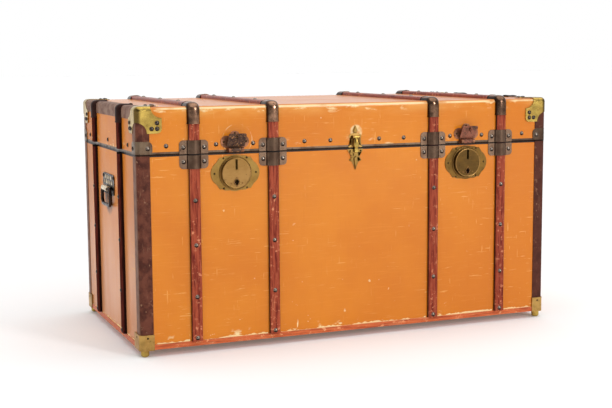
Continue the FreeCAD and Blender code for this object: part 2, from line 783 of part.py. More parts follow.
def make_locks():
    """Two brass box locks: a lobed plate, a round drum with a slot and keyhole, and a sliding bolt."""
    step = "lock_sheet + lock_step"
    sheet_z = ("0", "lock_sheet")
    bolt_half = "bolt_size / 2"
    passage = "bolt_size / 2 + bolt_clearance"
    shape = [
        cylinder("lock_disc", "lock_radius", "lock_sheet"),
        cylinder("lock_collar", "drum_radius + drum_collar", step),
    ]
    waist = ("lock_sheet", "lock_waist", "lock_waist_top", "lock_waist_rise", "lock_waist_top_rise")
    shape.append(taper("lock_waist_above", *waist))
    waist = ("lock_sheet", "lock_waist_top", "lock_waist", "-lock_waist_top_rise", "-lock_waist_rise")
    shape.append(taper("lock_waist_below", *waist))
    shoulders = box("lock_shoulders", both_ways("lock_shoulder"), both_ways("lock_shoulder_height"), sheet_z)
    shape.append(rounded(shoulders, SIZES["lock_shoulder_round"], upright))
    for side in SIDES:
        lobe_at = (f"{side} * lock_lobe_place", "0", "0")
        shape.append(cylinder("lock_lobe", "lock_lobe_radius", "lock_sheet", at=lobe_at))
    guide_y = (f"{SLOT_RISE} - ({passage}) - guide_wall", f"{SLOT_RISE} + ({passage}) + guide_wall")
    guide_z = ("0", f"{BOLT_RISE} + ({passage}) + guide_wall / 2")
    for place_name in ("guide_near", "guide_far"):
        shape.append(box("bolt_guide", (f"-{place_name} - guide_length", f"-{place_name}"), guide_y, guide_z))
    passage_y = (f"{SLOT_RISE} - ({passage})", f"{SLOT_RISE} + ({passage})")
    passage_z = (f"{BOLT_RISE} - ({passage})", f"{BOLT_RISE} + ({passage})")
    way = box("bolt_way", both_ways("drum_radius"), passage_y, passage_z)
    plate = cut("lock_plate", fuse("lock_stock", shape), way)

    drum = body("lock_drum")
    outside = {"Radius": "drum_radius", "Height": "drum_height"}
    can = feature(drum, "AdditiveCylinder", "drum_can", ("0", "0", step), **outside)

    def face_edge(edge, whole):
        return edge.ZMin > whole.ZMax - FLAT

    dress(drum, can, "drum_edge", "drum_edge", face_edge)
    inside = {"Radius": "drum_radius - drum_wall", "Height": "drum_height - drum_wall"}
    feature(drum, "SubtractiveCylinder", "drum_hollow", ("0", "0", step), **inside)
    face = (step, f"{DRUM_FACE} + drum_wall")
    slot_y = (f"{SLOT_RISE} - slot_length / 2", f"{SLOT_RISE} + slot_length / 2")
    block(drum, "SubtractiveBox", "drum_slot", both_ways("slot_width / 2"), slot_y, face)
    key_rise = "lock_drop - keyhole_drop"
    key = {"Radius": "keyhole_radius", "Height": "drum_height + drum_wall"}
    feature(drum, "SubtractiveCylinder", "keyhole_eye", ("0", key_rise, step), **key)
    stem_y = (f"{key_rise} - keyhole_stem", key_rise)
    block(drum, "SubtractiveBox", "keyhole_stem", both_ways("keyhole_stem_width / 2"), stem_y, face)

    bolt_y = (f"{SLOT_RISE} - {bolt_half}", f"{SLOT_RISE} + {bolt_half}")
    bolt_z = (f"{BOLT_RISE} - {bolt_half}", f"{BOLT_RISE} + {bolt_half}")
    bolt = box("lock_bolt", ("-bolt_back - bolt_length", "-bolt_back"), bolt_y, bolt_z)
    for side, name in ((-1, "left"), (1, "right")):
        seat = on_front(f"{side} * {LOCK_PLACE}", f"{SEAM} - lock_drop")
        group(f"lock_plate_{name}", [link(plate, *seat)])
        group(f"lock_drum_{name}", [link(drum, *seat)])
        group(f"lock_bolt_{name}", [link(bolt, *seat)])


def make_hasps():
    """Two hasps hinged at the lid's lower edge: at rest each leans back against its plate."""
    pin = "hasp_pin_rise"
    lug_outer = "hasp_knuckle_half + hasp_clearance + hasp_lug"
    lug_inner = "hasp_knuckle_half + hasp_clearance"
    bore = "hasp_pin_radius + pivot_fit"
    sheet_z = ("0", "hasp_plate_sheet")
    shape = [
        box("hasp_panel", both_ways("trefoil_side"), ("trefoil_foot", "trefoil_top_rise"), sheet_z),
        cylinder("trefoil_top", "trefoil_top_lobe", "hasp_plate_sheet", at=("0", "trefoil_top_rise", "0")),
    ]
    lug_y = (f"{pin} - {HASP_KNUCKLE}", f"{pin} + {HASP_KNUCKLE}")
    for side in SIDES:
        lobe_at = (f"{side} * trefoil_side", "trefoil_side_rise", "0")
        shape.append(cylinder("trefoil_lobe", "trefoil_lobe", "hasp_plate_sheet", at=lobe_at))
        near, far = mirrored(side, lug_inner, lug_outer)
        shape.append(box("hasp_lug_web", (near, far), lug_y, ("0", HASP_PIN_OUT)))
        shape.append(cylinder("hasp_lug_eye", HASP_KNUCKLE, "hasp_lug", ALONG_X, (near, pin, HASP_PIN_OUT)))
    plate_bore = rod("hasp_bore", bore, lug_outer, pin, HASP_PIN_OUT)
    plate = cut("hasp_plate", fuse("hasp_plate_stock", shape), plate_bore)
    pivot = rod("hasp_pin", "hasp_pin_radius", lug_outer, pin, HASP_PIN_OUT)

    leaf_z = (HASP_LEAF_OUT, HASP_KNUCKLE)
    neck_end = f"-{HASP_KNUCKLE} - hasp_clearance"
    leaf_end = f"-{STAPLE_DROP} - hasp_tip"
    staple_y = (f"-{STAPLE_DROP} - staple_half", f"-{STAPLE_DROP} + staple_half")
    staple_tip = f"{DRUM_FOOT} + hasp_clearance - {HASP_PIN_OUT}"
    eye_half = "(bolt_size / 2 + 2 * hasp_clearance)"
    eye_y = (f"-{STAPLE_DROP} - {eye_half}", f"-{STAPLE_DROP} + {eye_half}")
    eye_z = (f"{staple_tip} + staple_wall", f"{BOLT_RISE} + bolt_size / 2 + hasp_clearance - {HASP_PIN_OUT}")
    sheet = box("hasp_leaf", both_ways("hasp_leaf_half"), (leaf_end, neck_end), leaf_z)

    def end_corner(edge, whole):
        return edge.ZLength > FLAT and edge.YMax < whole.YMin + FLAT

    leaf = fuse("hasp_stock", [
        rod("hasp_knuckle", HASP_KNUCKLE, "hasp_knuckle_half", "0", "0"),
        box("hasp_neck", both_ways("hasp_knuckle_half"), (f"{neck_end} - hasp_clearance", "0"), leaf_z),
        rounded(sheet, SIZES["hasp_corner"], end_corner),
        box("staple", both_ways("staple_sheet / 2"), staple_y, (staple_tip, HASP_KNUCKLE)),
    ])
    eye = box("staple_eye", both_ways("staple_sheet"), eye_y, eye_z)
    hasp = cut("hasp", leaf, rod("hasp_knuckle_bore", bore, "hasp_leaf_half", "0", "0"), eye)

    folded = FreeCAD.Rotation(RIGHT, SIZES["hasp_lean"] - 90)
    pins = []
    for side, name in ((-1, "left"), (1, "right")):
        seat = on_front(f"{side} * {LOCK_PLACE}", LID_FOOT)
        group(f"hasp_plate_{name}", [link(plate, *seat)])
        pivot_at = (f"{side} * {LOCK_PLACE}", f"-{HALF_DEPTH} - {HASP_PIN_OUT}", f"{LID_FOOT} + {pin}")
        group(f"hasp_{name}", [link(hasp, folded, pivot_at)])
        pins.append(link(pivot, *seat))
    return pins


def make_catch():
    """The sprung catch in the middle: a flared plate with a lever, and a barbed keeper below."""
    pivot = ("catch_pivot_rise", "catch_pivot_out")
    lug_inner = "catch_knuckle_half + hasp_clearance"
    lug_outer = "catch_knuckle_half + hasp_clearance + catch_lug"
    bore = "catch_pivot_radius + pivot_fit"
    steps = (
        ("catch_panel", "catch_flare", "catch_half", "catch_foot", "catch_rise"),
        ("catch_leaf", "catch_leaf_foot", "catch_leaf_half", "catch_rise", "catch_leaf_rise"),
        ("catch_tip", "catch_leaf_half", "catch_tip_half", "catch_leaf_rise", "catch_tip_rise"),
    )
    shape = [taper(name, "catch_sheet", *step) for name, *step in steps]
    web_y = ("catch_pivot_rise - catch_knuckle", "catch_pivot_rise + catch_knuckle")
    for side in SIDES:
        ear_at = (f"{side} * catch_ear_place", "catch_ear_rise", "0")
        shape.append(cylinder("catch_ear", "catch_ear", "catch_sheet", at=ear_at))
        near, far = mirrored(side, lug_inner, lug_outer)
        shape.append(box("catch_lug_web", (near, far), web_y, ("0", "catch_pivot_out")))
        shape.append(cylinder("catch_lug_eye", "catch_knuckle", "catch_lug", ALONG_X, (near, *pivot)))
    plate = cut("catch_plate", fuse("catch_plate_stock", shape), rod("catch_bore", bore, lug_outer, *pivot))
    seat = on_front("0", LID_FOOT)
    group("catch_plate", [link(plate, *seat)])

    bulb = doc.addObject("Part::Ellipsoid", "catch_bulb")
    for prop, formula in (("Radius1", "bulb_depth"), ("Radius2", "bulb_half"), ("Radius3", "bulb_length")):
        bind(bulb, prop, formula)
    place(bulb, at=("0", "catch_pivot_rise - bulb_drop", "catch_pivot_out + tongue_sheet / 2"))
    tongue_z = ("catch_pivot_out - tongue_sheet / 2", "catch_pivot_out + tongue_sheet / 2")
    tongue_y = ("catch_pivot_rise - tongue_drop", "catch_pivot_rise")
    stock = fuse("lever_stock", [
        rod("lever_knuckle", "catch_knuckle", "catch_knuckle_half", *pivot),
        box("lever_tongue", both_ways("tongue_half"), tongue_y, tongue_z),
        bulb,
    ])
    lever = cut("catch_lever", stock, rod("lever_bore", bore, "2 * catch_knuckle_half", *pivot))
    group("catch_lever", [link(lever, *seat)])

    strike_top = "catch_pivot_rise - tongue_drop - strike_clearance"
    strike_y = (f"{strike_top} - strike_length", strike_top)
    steps = (
        ("keeper_panel", "keeper_waist", "keeper_half", "-keeper_waist_drop", "-keeper_gap"),
        ("keeper_flare", "keeper_barb", "keeper_waist", "-keeper_barb_drop", "-keeper_waist_drop"),
        ("keeper_barbs", "keeper_neck", "keeper_barb", "-keeper_neck_drop", "-keeper_barb_drop"),
        ("keeper_tip", "catch_tip_half", "keeper_neck", "-keeper_tip_drop", "-keeper_neck_drop"),
    )
    shape = [taper(name, "catch_sheet", *step) for name, *step in steps]
    shape.append(box("strike", both_ways("strike_half"), strike_y, ("0", "strike_out")))
    keeper = fuse("keeper", shape)
    group("catch_keeper", [link(keeper, *on_front("0", SEAM))])
    return link(rod("catch_pin", "catch_pivot_radius", lug_outer, *pivot), *seat)


# End handles and hinges


def make_handles():
    """A steel plate with a rolled barrel at each end, and a closed bail that hangs from the barrel."""
    barrel = ("0", BARREL_OUT)
    spans = (both_ways("handle_half"), ("-handle_below", "handle_above"), ("0", "handle_sheet"))
    flat = rounded(box("handle_flat", *spans), SIZES["handle_corner"], upright)
    web = box("barrel_web", both_ways(BARREL_HALF), both_ways("bail_radius"), ("0", BARREL_OUT))
    stock = fuse("handle_stock", [flat, web, rod("barrel", BARREL_RADIUS, BARREL_HALF, *barrel)])
    plate = cut("handle_plate", stock, rod("barrel_bore", "bail_radius + pivot_fit", "handle_half", *barrel))

    run = f"{BAIL_HALF} - bail_corner"
    rise = "bail_drop - 2 * bail_corner"
    rods = [rod("bail_rod", "bail_radius", run, y, "0") for y in ("0", "-bail_drop")]
    along_y = FreeCAD.Rotation(RIGHT, -90)
    for side in SIDES:
        arm_at = (f"{side} * {BAIL_HALF}", "bail_corner - bail_drop", "0")
        rods.append(cylinder("bail_arm", "bail_radius", rise, along_y, arm_at))
    for across, along, start in ((1, 1, 0), (-1, 1, 90), (-1, -1, 180), (1, -1, 270)):
        bend = doc.addObject("Part::Torus", "bail_bend")
        bind(bend, "Radius1", "bail_corner")
        bind(bend, "Radius2", "bail_radius")
        bend.Angle3 = 90
        bend_y = "-bail_corner" if along > 0 else "bail_corner - bail_drop"
        rods.append(place(bend, FreeCAD.Rotation(UP, start), (f"{across} * ({run})", bend_y, "0")))
    bail = fuse("bail", rods)
    for side, name in ((-1, "left"), (1, "right")):
        height = f"{SEAM} - handle_drop"
        group(f"handle_plate_{name}", [link(plate, *on_end(side, "0", height))])
        group(f"handle_bail_{name}", [link(bail, *on_end(side, "0", height, BARREL_OUT))])


def make_hinges():
    """Three butt hinges on the back, whose outer knuckles carry horns that stop the lid."""
    axis = ("0", HINGE_OUT)
    bore = rod("hinge_bore", "hinge_pin_radius + pivot_fit", "hinge_half", *axis)
    leaf_z = ("0", "hinge_sheet")
    side_start = "hinge_middle_half + hinge_side_gap"
    body_shape = [box("body_leaf", both_ways("hinge_half"), ("-hinge_leaf", "-hinge_start"), leaf_z)]
    horn_y = ("0", f"{HINGE_OUT} - hinge_sheet - hinge_stop_gap")
    horn_z = (HINGE_OUT, f"{HINGE_OUT} + hinge_stop_depth")
    arm_y = ("-hinge_arm", "-hinge_knuckle / 2")
    for side in SIDES:
        near, far = mirrored(side, side_start, "hinge_half")
        length = "hinge_half - hinge_middle_half - hinge_side_gap"
        body_shape.append(cylinder("body_knuckle", "hinge_knuckle", length, ALONG_X, (near, *axis)))
        body_shape.append(box("body_arm", (near, far), arm_y, ("0", HINGE_OUT)))
        body_shape.append(box("hinge_horn", (near, far), horn_y, horn_z))
    body_leaf = cut("body_hinge_leaf", fuse("body_leaf_stock", body_shape), bore)
    middle = both_ways("hinge_middle_half")
    lid_shape = [
        box("lid_leaf", both_ways("hinge_half"), ("hinge_start", "hinge_leaf"), leaf_z),
        rod("lid_knuckle", "hinge_knuckle", "hinge_middle_half", *axis),
        box("lid_arm", middle, ("hinge_knuckle / 2", "hinge_arm"), ("0", HINGE_OUT)),
    ]
    lid_leaf = cut("lid_hinge_leaf", fuse("lid_leaf_stock", lid_shape), bore)
    pin = rod("hinge_pin", "hinge_pin_radius", "hinge_half", *axis)
    group("body_hinge_leaves", [link(body_leaf, *on_back(x, SEAM)) for x in HINGES])
    group("lid_hinge_leaves", [link(lid_leaf, *on_back(x, SEAM)) for x in HINGES])
    return [link(pin, *on_back(x, SEAM)) for x in HINGES]


# Nails, rivets and pins


def fastener(name):
    """A domed head on z = 0 with a plain shank below it."""
    item = body(name)
    ball = f"(({name}_radius ^ 2 + {name}_rise ^ 2) / (2 * {name}_rise))"
    sizes = {"Radius": ball, "Angle1": f"asin(({ball} - {name}_rise) / {ball})"}
    feature(item, "AdditiveSphere", f"{name}_head", ("0", "0", f"{name}_rise - {ball}"), **sizes)
    shank = {"Radius": "shank_radius", "Height": f"{name}_length + {name}_rise / 2"}
    feature(item, "AdditiveCylinder", f"{name}_shank", ("0", "0", f"-{name}_length"), **shank)
    return item


def make_nails():
    nail = fastener("nail")
    heights = [f"foot_height + {name}" for name in
               ("slat_nail_high", "slat_nail_middle", "slat_nail_low", "slat_nail_toe")]
    body_nails = []
    for z in heights:
        for side in SIDES:
            body_nails += [link(nail, *on_long_face(side, x, z, "slat_thickness")) for x in SLATS]
            for way in SIDES:
                body_nails.append(link(nail, *on_end(side, f"{way} * end_slat", z, "slat_thickness")))
    group("body_nails", body_nails)

    insets = ("row_corner_inset", "row_outer_inset", "row_lock_inset", "row_inner_inset")
    row = [f"{HALF_WIDTH} - {inset}" for inset in insets] + ["row_middle"]
    row_z = f"{SEAM} + row_height"
    lid_nails = []
    for side in SIDES:
        for x in row:
            lid_nails += [link(nail, *on_long_face(side, f"{way} * ({x})", row_z)) for way in SIDES]
        lid_nails += [link(nail, *on_end(side, f"{way} * row_end", row_z)) for way in (-1, 0, 1)]
    for x in SLATS:
        for way in (-1, 0, 1):
            lid_nails.append(link(nail, *on_top(x, f"{way} * top_nail_spread", "slat_thickness")))
    group("lid_nails", lid_nails)


def make_rivets():
    rivet = fastener("rivet")
    ear = "(clamp_width / 2 - clamp_corner)"
    body_ear_z = f"{SEAM} - clamp_height / 2"
    lid_ear_z = f"{LID_FOOT} + clamp_height / 2"
    body_rivets = []
    lid_rivets = []
    for x in SLATS:
        for way in SIDES:
            rivet_x = f"{x} + {way} * {ear}"
            body_rivets.append(link(rivet, *on_front(rivet_x, body_ear_z, "clamp_sheet")))
            lid_rivets.append(link(rivet, *on_front(rivet_x, lid_ear_z, "clamp_sheet")))
    for x in HINGES:
        for way in SIDES:
            rivet_x = f"{x} + {way} * hinge_rivet_place"
            body_rivets.append(link(rivet, *on_back(rivet_x, f"{SEAM} - hinge_rivet_rise", "hinge_sheet")))
            lid_rivets.append(link(rivet, *on_back(rivet_x, f"{SEAM} + hinge_rivet_rise", "hinge_sheet")))
    plate_z = f"{SEAM} - handle_drop"
    for side in SIDES:
        for way in SIDES:
            y = f"{way} * (handle_half - handle_rivet_edge)"
            for rise in ("handle_above - handle_rivet_edge", "handle_rivet_edge - handle_below"):
                body_rivets.append(link(rivet, *on_end(side, y, f"{plate_z} + {rise}", "handle_sheet")))
    clip_z = f"{LID_FOOT} + clip_height / 2"
    for across, along in CORNERS:
        edge_x = f"{across} * ({HALF_WIDTH} - clip_leg + 2 * rivet_radius)"
        edge_y = f"{along} * ({HALF_DEPTH} - clip_leg + 2 * rivet_radius)"
        lid_rivets.append(link(rivet, *on_long_face(along, edge_x, clip_z, "clip_sheet")))
        lid_rivets.append(link(rivet, *on_end(across, edge_y, clip_z, "clip_sheet")))
    near = "(cap_arch + 2 * rivet_radius)"
    far = "(cap_reach - 2 * rivet_radius)"
    cap_out = "binding_sheet + cap_sheet"
    for across, along in CORNERS:
        for inward, down in ((near, far), (far, far), (far, near)):
            x = f"{across} * ({HALF_WIDTH} - {inward})"
            y = f"{along} * ({HALF_DEPTH} - {inward})"
            z = f"{LID_TOP} - {down}"
            lid_rivets.append(link(rivet, *on_long_face(along, x, z, cap_out)))
            lid_rivets.append(link(rivet, *on_end(across, y, z, cap_out)))
            lid_rivets.append(link(rivet, *on_top(x, f"{along} * ({HALF_DEPTH} - {down})", cap_out)))
    group("body_rivets", body_rivets)
    group("lid_rivets", lid_rivets)


def make_brass_pins():
    pin = fastener("pin")
    shoe_out = "rail_proud + cap_sheet"
    shoe_z = "foot_height + foot_cap_height - 3 * pin_radius"
    body_pins = []
    lid_pins = []
    for across, along in CORNERS:
        shoe_x = f"{across} * ({HALF_WIDTH} - foot_cap_leg / 2)"
        shoe_y = f"{along} * ({HALF_DEPTH} - foot_cap_end_leg / 2)"
        body_pins.append(link(pin, *on_long_face(along, shoe_x, shoe_z, shoe_out)))
        body_pins.append(link(pin, *on_end(across, shoe_y, shoe_z, shoe_out)))
    for side in SIDES:
        centre_x = f"{side} * {LOCK_PLACE}"
        centre_z = f"{SEAM} - lock_drop"
        for way in SIDES:
            end_x = f"{centre_x} + {way} * lock_pin_place"
            body_pins.append(link(pin, *on_front(end_x, centre_z, "lock_sheet")))
            lobe_x = f"{centre_x} + {way} * (trefoil_side + trefoil_lobe / 2)"
            lobe_z = f"{LID_FOOT} + trefoil_side_rise"
            lid_pins.append(link(pin, *on_front(lobe_x, lobe_z, "hasp_plate_sheet")))
            corner_x = f"{centre_x} + {way} * (lock_shoulder - 2 * pin_radius)"
            for up in SIDES:
                corner_z = f"{centre_z} + {up} * (lock_shoulder_height - 2 * pin_radius)"
                body_pins.append(link(pin, *on_front(corner_x, corner_z, "lock_sheet")))
        top_z = f"{LID_FOOT} + trefoil_top_rise + trefoil_top_lobe - 2 * pin_radius"
        lid_pins.append(link(pin, *on_front(centre_x, top_z, "hasp_plate_sheet")))
    for way in SIDES:
        keeper_z = f"{SEAM} - keeper_pin_drop"
        body_pins.append(link(pin, *on_front(f"{way} * keeper_pin_place", keeper_z, "catch_sheet")))
        plate_z = f"{LID_FOOT} + catch_pin_rise"
        lid_pins.append(link(pin, *on_front(f"{way} * catch_pin_place", plate_z, "catch_sheet")))
    group("body_brass_pins", body_pins)
    group("lid_brass_pins", lid_pins)


def check_model():
    """Stop on any object that failed or any sub-part without sound solids."""
    doc.recompute()
    failed = [item.Name for item in doc.Objects if {"Invalid", "Error"} & set(item.State)]
    if failed:
        raise RuntimeError(f"failed objects: {failed}")
    for item in NODES:
        shape = item.Shape
        if shape.isNull() or not shape.isValid() or not shape.Solids:
            raise RuntimeError(f"{item.Label} has no sound solid")


def write_parts():
    os.makedirs("parts", exist_ok=True)
    for item in NODES:
        item.Shape.exportStep(f"parts/{item.Label}.step")
        print(f"{item.Label}: {len(item.Shape.Solids)} solids, {item.Shape.Volume / 1000:.1f} cm3")


make_base()
make_walls("body", BASE_TOP, SEAM)
make_body_skins()
make_lip()
make_lid_case()
end_bindings = make_bindings()
make_lid_corner_caps()
make_feet()
make_slats(end_bindings)
make_locks()
group("pivot_pins", [*make_hasps(), make_catch(), *make_hinges()])
make_handles()
make_nails()
make_rivets()
make_brass_pins()
check_model()
write_parts()
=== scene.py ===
"""Looks of the travel trunk: finishes for its solid pieces, small dressed details and a studio.

Metres, +Z up, front facing -Y, as in the solid model. A fitting's own frame has x to the right,
y up and z out of the face that it sits on.
"""
import math
import random

import bmesh
import bpy
from mathutils import Matrix, Vector


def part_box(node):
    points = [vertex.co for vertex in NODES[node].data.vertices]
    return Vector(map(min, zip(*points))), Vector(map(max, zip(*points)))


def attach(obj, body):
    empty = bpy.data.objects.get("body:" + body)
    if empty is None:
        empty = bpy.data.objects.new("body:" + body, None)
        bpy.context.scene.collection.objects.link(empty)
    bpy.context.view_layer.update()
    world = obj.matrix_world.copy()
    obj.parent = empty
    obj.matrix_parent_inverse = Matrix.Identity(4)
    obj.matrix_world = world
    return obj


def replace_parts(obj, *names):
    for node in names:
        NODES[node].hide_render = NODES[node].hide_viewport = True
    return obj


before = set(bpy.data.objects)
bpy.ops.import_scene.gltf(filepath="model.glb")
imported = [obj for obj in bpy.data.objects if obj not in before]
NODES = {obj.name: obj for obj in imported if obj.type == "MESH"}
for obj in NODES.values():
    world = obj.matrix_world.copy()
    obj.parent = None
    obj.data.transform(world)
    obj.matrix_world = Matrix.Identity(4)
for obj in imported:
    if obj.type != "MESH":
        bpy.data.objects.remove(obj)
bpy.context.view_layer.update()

bl_info = {
    "name": "Travel trunk looks",
    "version": (1, 0, 0),
    "blender": (4, 5, 0),
    "location": "View3D > Sidebar > Trunk",
    "description": "Finishes, small details and a studio for the travel trunk",
    "category": "Object",
}

LOW, HIGH = 0, 1
SIDES = (-1, 1)


def box_edge(node, corner, axis):
    """A coordinate of a solid's box, to a tenth of a millimetre."""
    return round(getattr(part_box(node)[corner], axis), 4)


# Places on the case, from the solids
FRONT = box_edge("body_covering", LOW, "y")
END = box_edge("body_covering", HIGH, "x")
SEAM = box_edge("body_covering", HIGH, "z")
LID_FOOT = box_edge("lid_rim_band", LOW, "z")
LID_TOP = box_edge("lid_covering", HIGH, "z")
RAIL_TOP = box_edge("base_rails", HIGH, "z")
SLAT_HALF = 0.012
OUTER_SLAT = box_edge("front_slats", HIGH, "x") - SLAT_HALF
INNER_SLAT = 0.197
SLATS = (-OUTER_SLAT, -INNER_SLAT, INNER_SLAT, OUTER_SLAT)
END_SLAT = box_edge("end_slats", HIGH, "y") - SLAT_HALF
END_SLATS = (-END_SLAT, END_SLAT)
LOCK_REACH = (box_edge("lock_drum_right", LOW, "x") + box_edge("lock_drum_right", HIGH, "x")) / 2
LOCKS = (-LOCK_REACH, LOCK_REACH)
LOCK_NAMES = ("left", "right")
HANDLE_DROP = 0.091
HANDLE_HEIGHT = SEAM - HANDLE_DROP

# Heights of the rows of heads, whose lower parts get painted shade, and the height from which rivets are
# dirty
NAIL_ROWS = (0.034, 0.124, 0.236, 0.332, 0.450)
RIVET_ROWS = (0.415, 0.4456, 0.487, 0.499)
DIRTY_RIVETS_FROM = 0.47

# Marks on the covering: bare paper behind the catch, the left hasp's scratched arc, painted shade and grime
# under the handles
CATCH_HALO = (0.003, FRONT, LID_FOOT + 0.037)
HASP_TRACE = (LOCKS[0] + 0.006, FRONT, LID_FOOT + 0.028)
HASP_TRACE_RADIUS = 0.0335
SHADE_AND_GRIME_DROP = 0.017

# Elbow caps: reach down the face and over the top, round of the lid's edge, squareness of the section,
# and the rolled rim as shares of its height with its growth there
ELBOW_DROP = 0.037
ELBOW_RUN = 0.037
END_RUN = 0.026
EDGE_ROUND = 0.008
SECTION_SQUARENESS = 2.4
RIM_ROLL = ((0.0, 0.0003), (0.15, 0.0008), (0.75, 0.0008), (1.0, 0.0))

# Torn hem: gaps at the slats and at the corners, width of one tear
HEM_SLAT_GAP = 0.016
HEM_FRONT_GAP = 0.032
HEM_END_GAP = 0.047
HEM_STEP = 0.004

# Locks: the drum's face, the drop of the painted shade around the keyhole, the turned step around it, the
# keyhole's plate and its rivets
DRUM_FACE = box_edge("lock_drum_left", LOW, "y")
KEYHOLE_SHADE_DROP = 0.0625
STEP_REACH = 0.0042
STEP_WIDTH = 0.0022
STEP_FOOT = 0.0028
STEP_RISE = 0.0014
BEAD_SINK = 0.0004
KEY_PLATE_DROP = 0.0615
KEY_BEAD_LAP = 0.001
KEY_BEAD_WIDTH = 0.0013
KEY_BEAD_HEIGHT = 0.0011
KEY_BEAD_LIFT = 0.0002
KEY_BEAD_EDGE = 0.0004
KEY_RIVET_RADIUS = 0.0019
KEY_RIVET_RISE = 0.0009
KEY_RIVET_REACH = 0.0125
KEY_RIVET_UP = -0.003

# Catch: sheet thickness, and the leaves' outlines, up from the lid's foot or down from the seam
CATCH_SHEET = 0.0018
PLATE_TIP = ((0, 0.0495), (-0.0052, 0.039), (-0.0024, 0.0335), (0.0024, 0.0335), (0.0052, 0.039))
PLATE_FLANK = ((0.0092, 0.029), (0.0092, 0.012), (0.0152, 0.004), (0.0128, 0.022))
KEEPER_SHOULDER = ((0.0065, -0.009), (0.0155, -0.0085), (0.0098, -0.0175), (0.0065, -0.0165))
KEEPER_BARB = ((0.0058, -0.0195), (0.0095, -0.0205), (0.0132, -0.0263), (0.0058, -0.0288))
KEEPER_TIP = ((0, -0.0175), (-0.0048, -0.0225), (0, -0.0465), (0.0048, -0.0225))

# Handle ribs: each row's height above the barrel, with the ribs' places in steps of the pitch
HANDLE_SHEET = 0.0018
RIB_ROWS = {0.0245: (-1.5, -0.5, 0.5, 1.5), 0.0135: (-2, -1, 0, 1, 2)}
RIB_PITCH = 0.017
RIB_LENGTH = 0.0085
RIB_HEIGHT = 0.0028
RIB_EDGE = 0.001

# Studio: sizes in metres, angles in degrees
KEY_SIZE = (1.0, 2.6)
KEY_PLACE = (2.4, -5.3, 2.2)
FILL_SIZE = (2.2, 2.2)
FILL_PLACE = (-3.0, -1.6, 1.5)
LIGHT_AIM = (0, 0, 0.26)
SKY_SPREAD = 70
SKY_TILT = (12, 8, 0)
SURROUND_FADE = (-0.55, 0.25)
FLOOR_HALF = 40.0
FLOOR_GLOW = 0.09
CAMERA_PLACE = (-1.0981, -2.6484, 0.6333)
CAMERA_ANGLES = (22.28, 7.1304, -0.4076)

FACE_TURNS = {
    "front": Matrix(((1, 0, 0), (0, 0, -1), (0, 1, 0))),
    "back": Matrix(((-1, 0, 0), (0, 0, 1), (0, 1, 0))),
    "left": Matrix(((0, 0, -1), (-1, 0, 0), (0, 1, 0))),
    "right": Matrix(((0, 0, 1), (1, 0, 0), (0, 1, 0))),
}


def linear(red, green, blue):
    """Screen colour, 0 to 255, as scene-linear."""
    def channel(value):
        share = value / 255
        return share / 12.92 if share <= 0.04045 else ((share + 0.055) / 1.055) ** 2.4
    return channel(red), channel(green), channel(blue)


def colour(name, description, *screen):
    return bpy.props.FloatVectorProperty(
        name=name, description=description, subtype="COLOR", size=3, min=0, max=1, default=linear(*screen))


def length(name, description, default):
    return bpy.props.FloatProperty(
        name=name, description=description, default=default, min=0, precision=5,
        subtype="DISTANCE", unit="LENGTH")


def number(name, description, default, unit="NONE"):
    return bpy.props.FloatProperty(name=name, description=description, default=default, min=0, unit=unit)


